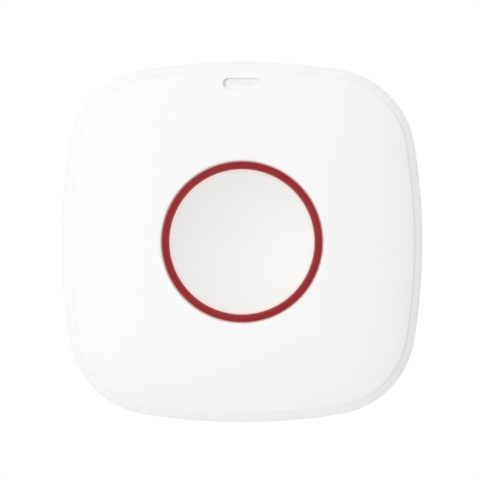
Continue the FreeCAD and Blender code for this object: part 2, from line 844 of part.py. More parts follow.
def indicator_lens():
    body = new_body("indicator_lens")
    length = s.indicator_length - s.indicator_fit * 2
    width = s.indicator_width - s.indicator_fit * 2
    top = indicator_height + width / 2
    low = pipe_foot
    add(body, "Bridge", pipe_base, pipe_front, lambda k: draw_box(
        k, 0, (low + top) / 2, s.pipe_half_width * 2, top - low))
    front = crown_base + s.crown_rise
    add(body, "Window", pipe_base, front, lambda k: draw_pill(k, 0, indicator_height, length, width))
    place = (indicator_height - width) / edge_half, (indicator_height + width) / edge_half
    inner, outer = [crown_depth(share, crown_base, s.crown_rise) - s.indicator_recess for share in place]
    across_feature(body, "Pocket", "Face", "YZ_Plane", 0, s.indicator_length, lambda k: draw_loop(k, [
        (-inner, indicator_height - width),
        (-outer, indicator_height + width),
        (-(front + s.indicator_recess), indicator_height + width),
        (-(front + s.indicator_recess), indicator_height - width),
    ]))
    mirror = s.pipe_mirror
    spare = s.pipe_wall
    across_feature(body, "Pocket", "Mirror", "YZ_Plane", 0, s.pipe_half_width * 2 + spare,
                   lambda k: draw_loop(k, [
                       (-pipe_base, top - mirror),
                       (-(pipe_base + mirror), top),
                       (-(pipe_base + mirror), top + spare),
                       (-(pipe_base - spare), top + spare),
                       (-(pipe_base - spare), top - mirror),
                   ]))
    return body


def rear_housing():
    body = new_body("rear_housing")
    rear_inset = s.back_draft
    loft(body, "AdditiveLoft", "Side", [(s.rim_standoff, rear_inset, 1), (shoulder_base, 0, 1)], True)
    loft(body, "AdditiveLoft", "Shoulder",
         [(shoulder_base, 0, 1), (parting_depth, s.shoulder_width, 1)], True)
    dress_edges(body, "Fillet", "BackEdgeRound", s.back_edge_round, level_edges(s.rim_standoff))
    dress_edges(body, "Fillet", "ShoulderRound", s.shoulder_round, level_edges(shoulder_base))
    cut(body, "Cavity", land_inside, parting_depth, lambda k: draw_housing_outline(k, s.side_wall))
    recess_half = bracket_half + s.bracket_play
    recess_low = -(recess_half + lift_travel)
    recess_corner = s.bracket_corner + s.bracket_play
    tray_half = recess_half + s.tray_wall
    add(body, "Tray", land_inside - s.back_wall / 2, floor_inside, lambda k: draw_rounded_box(
        k, -tray_half, tray_half, recess_low - s.tray_wall, tray_half, recess_corner + s.tray_wall))
    add(body, "BoardPosts", land_inside - s.back_wall / 2, board_back,
        circles(BOARD_POSTS, s.board_post_radius))
    cut(body, "Recess", s.rim_standoff, recess_floor, lambda k: draw_rounded_box(
        k, -recess_half, recess_half, recess_low, recess_half, recess_corner))
    well_top = cell_top + s.contact_room / 2
    add(body, "Well", floor_inside, well_top, annulus(well_inner, well_outer))
    add(body, "ScrewPosts", floor_inside, s.boss_depth - s.running_gap,
        circles(HOUSING_SCREWS, s.post_radius))

    def struts(sketch):
        for across, up in HOUSING_SCREWS:
            root = (well_outer - s.strut_root) / length_of(across, up)
            draw_strut(sketch, (across * root, up * root), (across, up), s.rib_wall)
    add(body, "Struts", floor_inside, floor_inside + s.strut_height, struts)
    cut(body, "DoorHole", recess_floor, floor_inside, lambda k: draw_circle(k, 0, 0, door_hole))
    reach = door_hole + s.lug_reach
    notch = cut(body, "LugNotch", recess_floor, floor_inside, lambda k: draw_sector(
        k, s.cell_radius, reach, s.lug_span + s.lug_play * 2), turn=-s.door_turn)
    repeat_round(body, "LugNotches", notch, LUGS)
    lug_top = floor_inside + s.door_fit + s.lug_wall + s.door_fit
    window = cut(body, "LugWindow", floor_inside, lug_top, lambda k: draw_sector(
        k, s.cell_radius, well_outer + s.lug_reach, s.lug_span + s.lug_play * 2 + s.door_turn),
        turn=-s.door_turn / 2)
    repeat_round(body, "LugWindows", window, LUGS)
    cut(body, "ContactSlot", lug_top + s.contact_wall, well_top, lambda k: draw_box(
        k, well_inner + s.well_wall / 2, 0, s.well_wall * 2, s.contact_width + s.contact_wall * 2))
    cut(body, "BoardPilots", board_back - s.board_screw_length, board_back,
        circles(BOARD_POSTS, s.board_screw_radius + s.thread_room))
    cut(body, "ScrewHoles", recess_floor, s.boss_depth, circles(HOUSING_SCREWS, s.screw_radius + s.screw_sink))
    cut(body, "ScrewSinks", recess_floor, screw_head_high,
        circles(HOUSING_SCREWS, s.screw_head_radius + s.screw_sink))

    def slots(sketch):
        for across, base in HOOKS:
            slot_high = base + s.hook_neck + s.seat_gap
            slot_low = base - lift_travel - s.seat_gap
            draw_box(sketch, across, (slot_high + slot_low) / 2, s.hook_width + s.hook_play * 2,
                     slot_high - slot_low)
    cut(body, "HookSlots", recess_floor, floor_inside, slots)
    cut(body, "PlungerHole", recess_floor, floor_inside,
        circles(TAMPER_PLACE, s.plunger_radius + s.plunger_play))
    return body


def wall_bracket():
    body = new_body("wall_bracket")
    half = bracket_half
    add(body, "Plate", 0, s.bracket_thickness, lambda k: draw_rounded_box(
        k, -half, half, -half, half, s.bracket_corner))
    dress_edges(body, "Chamfer", "PlateBevel", s.bracket_bevel, level_edges(s.bracket_thickness))
    tip_base = floor_inside + s.seat_gap

    def necks(sketch):
        for across, base in HOOKS:
            draw_box(sketch, across, base + s.hook_neck / 2, s.hook_width, s.hook_neck)

    def tongues(sketch):
        height = s.hook_neck + s.hook_overlap
        for across, base in HOOKS:
            draw_box(sketch, across, base + height / 2, s.hook_width, height)
    add(body, "HookNecks", s.bracket_thickness / 2, tip_base + s.hook_tip / 2, necks)
    add(body, "HookTongues", tip_base, tip_base + s.hook_tip, tongues)
    reach = (s.hook_neck + s.hook_overlap).value
    tips = [base.value + reach for across, base in HOOKS]

    def at_tip(edge):
        middle = edge.valueAt(sum(edge.ParameterRange) / 2)
        level = any(abs(middle.z - tip) < SLACK for tip in tips)
        return level and abs(-middle.y - tip_base.value) < SLACK
    dress_edges(body, "Chamfer", "HookLeads", s.hook_lead, at_tip)

    def windows(sketch):
        for across, base in HOOKS:
            draw_box(sketch, across, base + s.hook_neck + s.hook_overlap / 2, s.hook_width, s.hook_overlap)
    cut(body, "HookWindows", 0, s.bracket_thickness, windows)
    holes = [(as_size(0), s.wall_hole_height), (as_size(0), -s.wall_hole_height)]
    cut(body, "WallHoles", 0, s.bracket_thickness, circles(holes, s.wall_hole_radius))
    at_front = level_edges(s.bracket_thickness, half.value)
    dress_edges(body, "Chamfer", "WallHoleSinks", s.wall_hole_sink_radius - s.wall_hole_radius,
                lambda edge: at_front(edge) and edge.Curve.TypeId == "Part::GeomCircle")
    ramp_low = tamper_height - s.plunger_radius
    ramp_high = ramp_low + lift_travel
    ramp_end = ramp_high + s.plunger_radius * 2 + s.bracket_play
    ramp_floor = s.bracket_thickness - s.tamper_drop
    ramp_width = (s.plunger_radius + s.bracket_play) * 2
    across_feature(body, "Pocket", "TamperRamp", "YZ_Plane", tamper_side, ramp_width,
                   lambda k: draw_loop(k, [
                       (-s.bracket_thickness, ramp_low),
                       (-ramp_floor, ramp_high),
                       (-ramp_floor, ramp_end),
                       (-s.bracket_thickness, ramp_end),
                   ]))
    return body


def battery_door():
    body = new_body("battery_door")
    add(body, "Disc", recess_floor, floor_inside, lambda k: draw_circle(k, 0, 0, door_radius))
    lug_base = floor_inside + s.door_fit
    lug_top = lug_base + s.lug_wall
    root_inner = well_inner + s.running_gap
    foot = add(body, "LugFoot", floor_inside - s.floor_wall / 2, lug_top, lambda k: draw_sector(
        k, root_inner, door_radius, s.lug_span))
    repeat_round(body, "LugFeet", foot, LUGS)
    lug = add(body, "Lug", lug_base, lug_top, lambda k: draw_sector(
        k, root_inner, door_radius + s.lug_reach, s.lug_span))
    repeat_round(body, "Lugs", lug, LUGS)
    cut(body, "CoinSlot", recess_floor, recess_floor + s.coin_slot_depth,
        lambda k: draw_pill(k, 0, 0, s.coin_slot_length, s.coin_slot_width))
    return body


def coin_cell():
    body = new_body("coin_cell")
    shoulder = cell_top - s.cell_cap_rise
    rounding = s.cell_round
    revolve(body, "Revolution", "Can", [
        (0, cell_base),
        (s.cell_radius - rounding, cell_base),
        (s.cell_radius, cell_base + rounding),
        (s.cell_radius, shoulder - rounding),
        (s.cell_radius - rounding, shoulder),
        (s.cell_cap_radius, shoulder),
        (s.cell_cap_radius, cell_top),
        (0, cell_top),
    ], {1: rounding, 3: rounding})
    return body


def battery_contact_positive():
    body = new_body("battery_contact_positive")
    wall = s.contact_wall
    inner = s.cell_radius + s.running_gap
    foot_reach = well_outer + s.contact_width / 2
    base = cell_base + s.cell_depth / 4
    across_feature(body, "Pad", "Strip", "XY_Plane", 0, s.contact_width, lambda k: draw_loop(k, [
        (inner, -base),
        (inner + wall, -base),
        (inner + wall, -(board_back - wall)),
        (foot_reach, -(board_back - wall)),
        (foot_reach, -board_back),
        (inner, -board_back),
    ]))
    return body


def battery_contact_negative():
    body = new_body("battery_contact_negative")
    wall = s.leaf_wall
    low = cell_top
    flat, bend, end = s.leaf_flat, s.leaf_bend, s.leaf_end
    across_feature(body, "Pad", "Leaf", "XY_Plane", 0, s.contact_width, lambda k: draw_loop(k, [
        (-end, -board_back), (-end, -(board_back - wall)), (-bend, -(board_back - wall)),
        (-flat, -low), (flat, -low),
        (bend, -(board_back - wall)), (end, -(board_back - wall)), (end, -board_back),
        (bend, -board_back), (flat, -(low + wall)), (-flat, -(low + wall)), (-bend, -board_back),
    ]))
    return body


def circuit_board():
    body = new_body("circuit_board")
    add(body, "Board", board_back, board_front, lambda k: draw_housing_outline(k, s.board_margin))
    cut(body, "BossHoles", board_back, board_front,
        circles(HOUSING_SCREWS, s.boss_radius + s.board_hole_play))
    cut(body, "ScrewHoles", board_back, board_front,
        circles(BOARD_POSTS, s.board_screw_radius + s.running_gap))
    return body


def key_switch():
    base = new_body("key_switch_body")
    width = s.switch_width
    body_top = board_front + s.switch_depth
    add(base, "Block", board_front, body_top, lambda k: draw_box(k, 0, 0, width, width))
    stake = width / 2 - s.stake_inset
    stakes = [(stake, stake), (-stake, stake), (-stake, -stake), (stake, -stake)]
    add(base, "Stakes", body_top - s.switch_plate, switch_top + s.stake_rise, circles(stakes, s.stake_radius))
    cut(base, "StemWell", body_top - s.switch_stem_hidden - s.press_travel, body_top,
        lambda k: draw_circle(k, 0, 0, s.switch_stem_radius + s.running_gap))
    plate = new_body("key_switch_cover")
    add(plate, "Plate", body_top, switch_top, lambda k: draw_box(k, 0, 0, width, width))
    cut(plate, "StemHole", body_top, switch_top,
        lambda k: draw_circle(k, 0, 0, s.switch_stem_radius + s.running_gap))
    cut(plate, "StakeHoles", body_top, switch_top, circles(stakes, s.stake_radius + s.running_gap))
    stem = new_body("key_switch_stem")
    add(stem, "Stem", body_top - s.switch_stem_hidden, stem_top,
        lambda k: draw_circle(k, 0, 0, s.switch_stem_radius))
    legs = new_body("key_switch_terminals", several=True)
    inner = width / 2
    wall = s.terminal_wall
    reach = inner + s.terminal_reach
    rise = board_front + s.switch_depth / 2
    for side in (1, -1):
        for index, row in enumerate((s.terminal_pitch / 2, -s.terminal_pitch / 2)):
            name = "Leg%s%d" % ("Right" if side > 0 else "Left", index)
            across_feature(legs, "Pad", name, "XY_Plane", row, s.terminal_width, lambda k: draw_loop(k, [
                (inner * side, -rise),
                ((inner + wall) * side, -rise),
                ((inner + wall) * side, -(board_front + wall)),
                (reach * side, -(board_front + wall)),
                (reach * side, -board_front),
                (inner * side, -board_front),
            ]))
    return [base, plate, stem, legs]


def board_block(name, across, up, length, width, depth):
    body = new_body(name)
    add(body, "Block", board_front, board_front + depth, lambda k: draw_box(k, across, up, length, width))
    return body


def radio_parts():
    chip = board_block("radio_chip", shield_side, shield_height, s.chip_width, s.chip_width, s.chip_depth)
    shield = board_block("radio_shield", shield_side, shield_height, s.shield_width, s.shield_width,
                         s.shield_depth)
    inner = s.shield_width - s.shield_wall * 2
    cut(shield, "Inside", board_front, board_front + s.shield_depth - s.shield_wall,
        lambda k: draw_box(k, shield_side, shield_height, inner, inner))
    crystal = board_block("clock_crystal", crystal_side, s.crystal_height, s.crystal_length,
                          s.crystal_width, s.crystal_depth)
    reservoir = board_block("reservoir_capacitor", reservoir_side, reservoir_height,
                            s.reservoir_length, s.reservoir_width, s.reservoir_depth)
    led = board_block("indicator_led", 0, led_height, s.led_length, s.led_width, s.led_depth)
    led_front = board_front + s.led_depth
    cut(led, "Cup", led_front - s.led_cup_depth, led_front,
        lambda k: draw_circle(k, 0, led_height, s.led_cup_radius))
    return [chip, shield, crystal, reservoir, led]


def antenna():
    body = new_body("antenna")
    wire_depth = board_front + s.antenna_lift
    side, low, high, bend = antenna_side, s.antenna_low, s.antenna_high, s.antenna_bend
    path = new_sketch(body, "Path", offset=wire_depth)
    rise = FreeCAD.Vector(side.value, (high - bend).value, 0)
    turned = FreeCAD.Vector((side - bend).value, high.value, 0)
    first = path.addGeometry(Part.LineSegment(FreeCAD.Vector(side.value, low.value, 0), rise), False)
    circle = Part.Circle(FreeCAD.Vector(turned.x, rise.y, 0), FreeCAD.Vector(0, 0, 1), bend.value)
    curve = path.addGeometry(Part.ArcOfCircle(circle, 0, math.pi / 2), False)
    tail = turned - FreeCAD.Vector(s.antenna_tail.value, 0, 0)
    last = path.addGeometry(Part.LineSegment(turned, tail), False)
    limit(path, "Tangent", first, 2, curve, 1)
    limit(path, "Tangent", curve, 2, last, 1)
    place_point(path, first, 1, side, low)
    place_point(path, curve, 3, side - bend, high - bend)
    bind(path, bend, "Radius", curve)
    bind(path, side - bend - s.antenna_tail, "DistanceX", -1, 1, last, 2)
    section = new_sketch(body, "Section", "XY_Plane", low)
    draw_circle(section, side, -wire_depth, s.antenna_radius)
    wire = body.newObject("PartDesign::AdditivePipe", "Wire")
    wire.Profile = section
    wire.Spine = path
    body.Tip = wire
    add(body, "Leg", board_front, wire_depth + s.antenna_radius,
        lambda k: draw_circle(k, side, low, s.antenna_radius))
    return body


def tamper_parts():
    base = new_body("tamper_switch_body")
    body_back = board_back - s.tamper_body_depth
    add(base, "Block", body_back, board_back, lambda k: draw_box(
        k, tamper_side, tamper_height, s.tamper_body_width, s.tamper_body_width))
    cut(base, "StemWell", body_back, body_back + s.tamper_stem_hidden,
        circles(TAMPER_PLACE, s.tamper_stem_radius + s.running_gap))
    stem = new_body("tamper_switch_stem")
    stem_back = body_back - s.tamper_stem_out
    add(stem, "Stem", stem_back, body_back + s.tamper_stem_hidden - s.running_gap,
        circles(TAMPER_PLACE, s.tamper_stem_radius))
    plunger = new_body("tamper_plunger")
    add(plunger, "Rod", s.bracket_thickness + s.running_gap, stem_back,
        circles(TAMPER_PLACE, s.plunger_radius))
    collar_base = floor_inside + s.tamper_drop + s.running_gap
    add(plunger, "Collar", collar_base, collar_base + s.plunger_collar_wall,
        circles(TAMPER_PLACE, s.plunger_collar))
    return [base, stem, plunger]


def screw_group(name, places, head_low, head_high, head_radius, tip, shank_radius, head_at_front):
    body = new_body(name, several=True)
    add(body, "Heads", head_low, head_high, circles(places, head_radius))
    if head_at_front:
        add(body, "Shanks", tip, head_low + s.shank_root, circles(places, shank_radius))
        cut(body, "Drives", head_high - s.drive_sink, head_high, drive_crosses(places))
    else:
        add(body, "Shanks", head_high - s.shank_root, tip, circles(places, shank_radius))
        cut(body, "Drives", head_low, head_low + s.drive_sink, drive_crosses(places))
    return body


def drive_crosses(places):
    def draw(sketch):
        arm, thin = s.drive_radius, s.drive_half_slot
        for across, up in places:
            draw_loop(sketch, [
                (across - arm, up - thin), (across - thin, up - thin), (across - thin, up - arm),
                (across + thin, up - arm), (across + thin, up - thin), (across + arm, up - thin),
                (across + arm, up + thin), (across + thin, up + thin), (across + thin, up + arm),
                (across - thin, up + arm), (across - thin, up + thin), (across - arm, up + thin),
            ])
    return draw


def screws():
    housing = screw_group("housing_screws", HOUSING_SCREWS, screw_head_low, screw_head_high,
                          s.screw_head_radius, screw_tip, s.screw_radius, False)
    board = screw_group("board_screws", BOARD_POSTS, board_front, board_front + s.board_screw_radius,
                        s.board_screw_head, board_back - s.board_screw_length + s.thread_room,
                        s.board_screw_radius, True)
    return [housing, board]


def chip_components():
    body = new_body("chip_components", several=True)
    side, row = s.passive_side, s.passive_row
    pairs = [(-side, row), (side, row), (-side, -row), (side, -row), (0, row * 2), (0, -row * 2)]

    def draw(sketch):
        for across, up in pairs:
            for step in (-1, 1):
                draw_box(sketch, across, up + s.passive_width * step, s.passive_length, s.passive_width)
    add(body, "Blocks", board_front, board_front + s.passive_depth, draw)
    return body


def build():
    bodies = [front_cover(), accent_ring(), button_cap(), indicator_lens(), rear_housing(), wall_bracket(),
              battery_door(), coin_cell(), battery_contact_positive(), battery_contact_negative(),
              circuit_board(), antenna(), chip_components()]
    bodies += key_switch() + radio_parts() + tamper_parts() + screws()
    doc.recompute()
    return bodies


def check(bodies):
    for item in doc.Objects:
        if "Invalid" in item.State or "Error" in item.State:
            raise RuntimeError("%s failed: %s" % (item.Label, item.State))
    for body in bodies:
        if body.Shape.isNull() or not body.Shape.isValid():
            raise RuntimeError("%s has no valid shape" % body.Label)
        for feature in body.Group:
            base = getattr(feature, "BaseFeature", None)
            if base is not None and abs(feature.Shape.Volume - base.Shape.Volume) < 1e-6:
                raise RuntimeError("%s of %s changes nothing" % (feature.Name, body.Label))


pieces = build()
check(pieces)
for piece in pieces:
    piece.Shape.exportStep("parts/%s.step" % piece.Label)
    box = piece.Shape.BoundBox
    print("%-26s solids %d  volume %9.2f  size %.2f x %.2f x %.2f" % (
        piece.Label, len(piece.Shape.Solids), piece.Shape.Volume, box.XLength, box.YLength, box.ZLength))
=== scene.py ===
import json
import math
import bpy
import bmesh
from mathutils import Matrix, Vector


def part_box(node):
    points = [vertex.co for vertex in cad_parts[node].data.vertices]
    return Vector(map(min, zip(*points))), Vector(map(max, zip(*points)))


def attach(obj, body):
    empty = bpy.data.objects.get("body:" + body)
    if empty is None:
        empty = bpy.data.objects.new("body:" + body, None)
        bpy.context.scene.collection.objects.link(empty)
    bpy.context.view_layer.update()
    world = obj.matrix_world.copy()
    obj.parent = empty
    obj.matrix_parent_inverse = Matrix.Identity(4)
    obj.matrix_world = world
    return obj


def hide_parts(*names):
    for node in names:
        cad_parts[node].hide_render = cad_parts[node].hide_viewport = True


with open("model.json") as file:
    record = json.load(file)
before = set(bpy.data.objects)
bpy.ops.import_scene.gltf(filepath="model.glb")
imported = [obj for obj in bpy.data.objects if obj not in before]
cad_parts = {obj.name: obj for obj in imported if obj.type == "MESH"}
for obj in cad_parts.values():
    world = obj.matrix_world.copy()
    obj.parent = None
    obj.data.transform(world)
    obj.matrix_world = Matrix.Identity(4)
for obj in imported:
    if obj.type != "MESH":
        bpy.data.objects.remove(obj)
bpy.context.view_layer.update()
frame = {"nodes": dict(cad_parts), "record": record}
nodes = frame["nodes"]
bodies = frame["record"]["behaviour"]["bodies"]
bodyOf = {node: body for body, members in bodies.items() for node in members}
mm = 0.001
radii = {"cap": 13.078, "ringInner": 13.148, "ringOuter": 14.548, "hole": 14.568}    # mm
print("frame loaded,", len(nodes), "CAD nodes")


class Value:                                     # a socket that can be written in a sum
    def __init__(self, bench, socket):
        self.bench = bench
        self.socket = socket

    def __add__(self, other):
        return self.bench.maths("ADD", self, other)

    def __radd__(self, other):
        return self.bench.maths("ADD", other, self)

    def __sub__(self, other):
        return self.bench.maths("SUBTRACT", self, other)

    def __rsub__(self, other):
        return self.bench.maths("SUBTRACT", other, self)

    def __neg__(self):
        return 0 - self

    def __mul__(self, other):
        return self.bench.maths("MULTIPLY", self, other)

    def __rmul__(self, other):
        return self.bench.maths("MULTIPLY", other, self)

    def __truediv__(self, other):
        return self.bench.maths("DIVIDE", self, other)

    def __gt__(self, other):
        return self.bench.maths("GREATER_THAN", self, other)

    def __lt__(self, other):
        return self.bench.maths("LESS_THAN", self, other)


class Bench:                                     # adds nodes to one tree
    def __init__(self, tree):
        self.tree = tree

    def node(self, kind, settings=None, inputs=None):
        made = self.tree.nodes.new(kind)
        for key, setting in (settings or {}).items():
            if key == "stops":
                self.setStops(made.color_ramp, setting)
            else:
                setattr(made, key, setting)
        for key, given in (inputs or {}).items():
            if isinstance(given, Value):
                self.tree.links.new(given.socket, made.inputs[key])
            else:
                made.inputs[key].default_value = given
        return made

    def setStops(self, ramp, stops):
        while len(ramp.elements) < len(stops):
            ramp.elements.new(0.5)
        for element, (place, tone) in zip(ramp.elements, stops):
            element.position = place
            element.color = tone

    def value(self, kind, settings=None, inputs=None, output=0):
        return Value(self, self.node(kind, settings, inputs).outputs[output])

    def maths(self, operation, first, second=0.0):
        return self.value("ShaderNodeMath", {"operation": operation}, {0: first, 1: second})

    def larger(self, first, second):
        return self.maths("MAXIMUM", first, second)

    def between(self, low, high, given):         # 0 below low, 1 above high, soft in between
        return self.value("ShaderNodeMapRange", {"interpolation_type": "SMOOTHSTEP"},
                          {"Value": given, "From Min": low, "From Max": high})

    def mixColour(self, share, first, second):   # the two are links or red, green and blue
        colours = [given if isinstance(given, Value) else rgb(given) for given in (first, second)]
        return self.value("ShaderNodeMix", {"data_type": "RGBA"},
                          {0: share, 6: colours[0], 7: colours[1]}, 2)

    def joined(self, first, second):             # two values as the first two parts of a vector
        return self.value("ShaderNodeCombineXYZ", None, {0: first, 1: second, 2: 0.0})

    def bump(self, height, strength, distance=0.01):
        return self.value("ShaderNodeBump", None, {"Strength": strength, "Distance": distance * mm,
                                                   "Height": height})


def rgb(colour):                                 # as a colour socket wants it
    return (*colour, 1.0)


def grey(level):
    return (level, level, level)


def darker(colour, share):                       # a share of 1 leaves the colour as it is
    return tuple(part * share for part in colour)


def plasticShader(specular=0.5, ior=1.5):        # what a plastic has the same all over
    return {"IOR": ior, "Specular IOR Level": specular}


def newMaterial(name, shader):                   # shader holds what is the same all over the surface
    material = bpy.data.materials.new(name)
    material.use_nodes = True
    material.node_tree.nodes.clear()
    bench = Bench(material.node_tree)
    surface = bench.node("ShaderNodeBsdfPrincipled", None, shader)
    out = bench.node("ShaderNodeOutputMaterial")
    bench.tree.links.new(surface.outputs[0], out.inputs["Surface"])
    return material, bench, surface


def feed(bench, surface, **given):               # what changes over the surface
    for key, wanted in given.items():
        bench.tree.links.new(wanted.socket, surface.inputs[key.replace("_", " ")])


def millimetres(bench):                          # the piece's own coordinates, in millimetres
    place = bench.value("ShaderNodeTexCoord", None, None, "Object")
    return bench.value("ShaderNodeVectorMath", {"operation": "SCALE"}, {0: place, "Scale": 1 / mm})


def axes(bench, place):
    split = bench.node("ShaderNodeSeparateXYZ", None, {0: place})
    return [Value(bench, split.outputs[index]) for index in range(3)]


def noise(bench, place, scale, detail=3.0, roughness=0.55):
    return bench.value("ShaderNodeTexNoise", None,
                       {"Vector": place, "Scale": scale, "Detail": detail, "Roughness": roughness})


def reachFrom(bench, across, up, centre=(0.0, 0.0)):
    sideways, upward = across - centre[0], up - centre[1]
    return bench.maths("SQRT", sideways * sideways + upward * upward)


def addObject(name, mesh, body, material):
    made = bpy.data.objects.new(name, mesh)
    bpy.context.scene.collection.objects.link(made)
    mesh.materials.clear()
    mesh.materials.append(material)
    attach(made, body)
    return made


camera = {
    "distance": 700 * mm,
    "frameWidth": 86.45 * mm,                    # what the square picture takes in at the object
    "objectPlane": -13.0 * mm,
    "aimAcross": -0.38 * mm,
    "aimUp": 0.34 * mm,
    "sensor": 36.0,
    "nearest": 20 * mm,
    "farthest": 20000 * mm,
}
lens = bpy.data.cameras.new("camera")
lens.sensor_width = camera["sensor"]
lens.lens = camera["sensor"] * camera["distance"] / camera["frameWidth"]
lens.clip_start = camera["nearest"]
lens.clip_end = camera["farthest"]
cameraObject = bpy.data.objects.new("camera", lens)
bpy.context.scene.collection.objects.link(cameraObject)
cameraObject.location = (camera["aimAcross"], camera["objectPlane"] - camera["distance"],
                         camera["aimUp"])
cameraObject.rotation_euler = (math.radians(90), 0, 0)
bpy.context.scene.camera = cameraObject
bpy.context.scene.view_settings.view_transform = "Standard"

lamps = {                                        # place and size in metres, power in watts
    "key": {"place": (-0.303, -0.570, 0.079), "size": 0.22, "watts": 1.31},
    "overhead": {"place": (0.0, -0.222, 0.611), "size": 0.30, "watts": 0.45},
    "behind": {"place": (0.12, 0.62, 0.20), "size": 0.40, "watts": 1.2},
}
for name, lamp in lamps.items():
    light = bpy.data.lights.new(name, "AREA")
    light.shape = "DISK"
    light.size = lamp["size"]
    light.energy = lamp["watts"]
    lampObject = bpy.data.objects.new(name, light)
    bpy.context.scene.collection.objects.link(lampObject)
    lampObject.location = lamp["place"]
    lampObject.rotation_euler = (-Vector(lamp["place"])).to_track_quat("-Z", "Y").to_euler()
    lampObject.visible_camera = False

# Soft light from all round; what is seen of it is white
sky = {"level": 0.654}
world = bpy.data.worlds.new("studio")
bpy.context.scene.world = world
world.use_nodes = True
world.node_tree.nodes.clear()
bench = Bench(world.node_tree)
ray = bench.node("ShaderNodeLightPath")
seen = Value(bench, ray.outputs["Is Camera Ray"])
for kind in ("Is Glossy Ray", "Is Transmission Ray"):
    seen = bench.larger(seen, Value(bench, ray.outputs[kind]))
level = seen + (1 - seen) * sky["level"]
backdrop = bench.node("ShaderNodeBackground", None, {"Color": rgb(grey(1.0)), "Strength": level})
out = bench.node("ShaderNodeOutputWorld")
bench.tree.links.new(backdrop.outputs[0], out.inputs["Surface"])

floor = {"height": -72.5 * mm, "radius": 260 * mm, "steps": 96,
         "low": 0.93, "high": 0.95, "grain": 40.0,
         "fadeFrom": 150 * mm, "fadeShare": 0.98,    # gone by this share of the radius
         "bounce": 0.85}                         # what it throws back up on the object
shape = bmesh.new()
bmesh.ops.create_circle(shape, cap_ends=True, segments=floor["steps"], radius=floor["radius"])
for corner in shape.verts:
    corner.co.z = floor["height"]
floorMesh = bpy.data.meshes.new("floor")
shape.to_mesh(floorMesh)
shape.free()
floorObject = bpy.data.objects.new("floor", floorMesh)
bpy.context.scene.collection.objects.link(floorObject)
floorMaterial = bpy.data.materials.new("pale floor")
floorMaterial.use_nodes = True
floorMaterial.node_tree.nodes.clear()
bench = Bench(floorMaterial.node_tree)
place = bench.value("ShaderNodeTexCoord", None, None, "Object")
across, along, up = axes(bench, place)
fadeTo = floor["radius"] * floor["fadeShare"]
fade = bench.between(floor["fadeFrom"], fadeTo, reachFrom(bench, across, along))
tone = bench.mixColour(noise(bench, place, floor["grain"]), grey(floor["low"]), grey(floor["high"]))
ray = bench.node("ShaderNodeLightPath")
tone = bench.mixColour(Value(bench, ray.outputs["Is Diffuse Ray"]), tone, grey(floor["bounce"]))
matt = bench.value("ShaderNodeBsdfDiffuse", None, {"Color": tone})
clear = bench.value("ShaderNodeBsdfTransparent")
mixed = bench.node("ShaderNodeMixShader", None, {0: fade, 1: matt, 2: clear})
out = bench.node("ShaderNodeOutputMaterial")
bench.tree.links.new(mixed.outputs[0], out.inputs["Surface"])
floorMesh.materials.append(floorMaterial)
print("stage set")

# Scale of the broad drift, spread of the roughness, and a second grain that is finer than the first
mould = {"cloud": 0.06, "spread": 0.08, "finer": 2.7, "finerShare": 0.5}


def plasticSkin(bench, place, finish):           # colour, roughness and relief of a spark-eroded mould
    cloud = noise(bench, place, mould["cloud"], detail=2.0)
    grain = noise(bench, place, finish["grain"], detail=2.0, roughness=0.6)
    tone = bench.mixColour(cloud, darker(finish["colour"], 1 - finish["drift"]), finish["colour"])
    rough = finish["rough"] + (cloud + grain - 1) * mould["spread"]
    finer = noise(bench, place, finish["grain"] * mould["finer"], detail=1.0)
    return tone, rough, bench.bump(grain + finer * mould["finerShare"], finish["relief"])


def mouldedPlastic(name, finish):
    material, bench, surface = newMaterial(name, plasticShader(finish["specular"]))
    tone, rough, relief = plasticSkin(bench, millimetres(bench), finish)
    feed(bench, surface, Base_Color=tone, Roughness=rough, Normal=relief)
    return material


metalLay = {"lines": 3.0, "cloud": 0.4, "lowTone": 0.86, "cloudRough": 0.15, "layRough": 0.06,
            "relief": 0.15}


def metal(name, finish):                         # sheet or turned metal with a fine lay
    material, bench, surface = newMaterial(name, {"Metallic": 1.0})
    place = millimetres(bench)
    stretched = bench.value("ShaderNodeMapping", None, {"Vector": place, "Scale": finish["lay"]})
    lay = noise(bench, stretched, metalLay["lines"], detail=4.0)
    cloud = noise(bench, place, metalLay["cloud"])
    tone = bench.mixColour(lay, darker(finish["colour"], metalLay["lowTone"]), finish["colour"])
    rough = finish["rough"] + (cloud - 0.5) * metalLay["cloudRough"] + lay * metalLay["layRough"]
    feed(bench, surface, Base_Color=tone, Roughness=rough, Normal=bench.bump(lay, metalLay["relief"]))
    return material


shellFinish = {"colour": (0.935, 0.935, 0.93), "rough": 0.50, "grain": 3.2, "relief": 0.08,
               "drift": 0.006, "specular": 0.25}
bracketFinish = {"colour": (0.89, 0.89, 0.885), "rough": 0.5, "grain": 2.6, "relief": 0.12,
                 "drift": 0.012, "specular": 0.4}
plungerFinish = {"colour": (0.86, 0.86, 0.84), "rough": 0.35, "grain": 5.0, "relief": 0.05,
                 "drift": 0.01, "specular": 0.5}
blackFinish = {"colour": (0.03, 0.03, 0.033), "rough": 0.5, "grain": 6.0, "relief": 0.15,
               "drift": 0.1, "specular": 0.5}
stemFinish = {"colour": (0.62, 0.60, 0.56), "rough": 0.42, "grain": 6.0, "relief": 0.08,
              "drift": 0.03, "specular": 0.5}
chipFinish = {"colour": (0.60, 0.48, 0.34), "rough": 0.55, "grain": 9.0, "relief": 0.10,
              "drift": 0.12, "specular": 0.4}
shellWhite = mouldedPlastic("shell white", shellFinish)
bracketWhite = mouldedPlastic("bracket white", bracketFinish)
plungerWhite = mouldedPlastic("plunger natural white", plungerFinish)
mouldedBlack = mouldedPlastic("moulded black", blackFinish)
stemNatural = mouldedPlastic("stem natural", stemFinish)
firedCeramic = mouldedPlastic("fired ceramic", chipFinish)
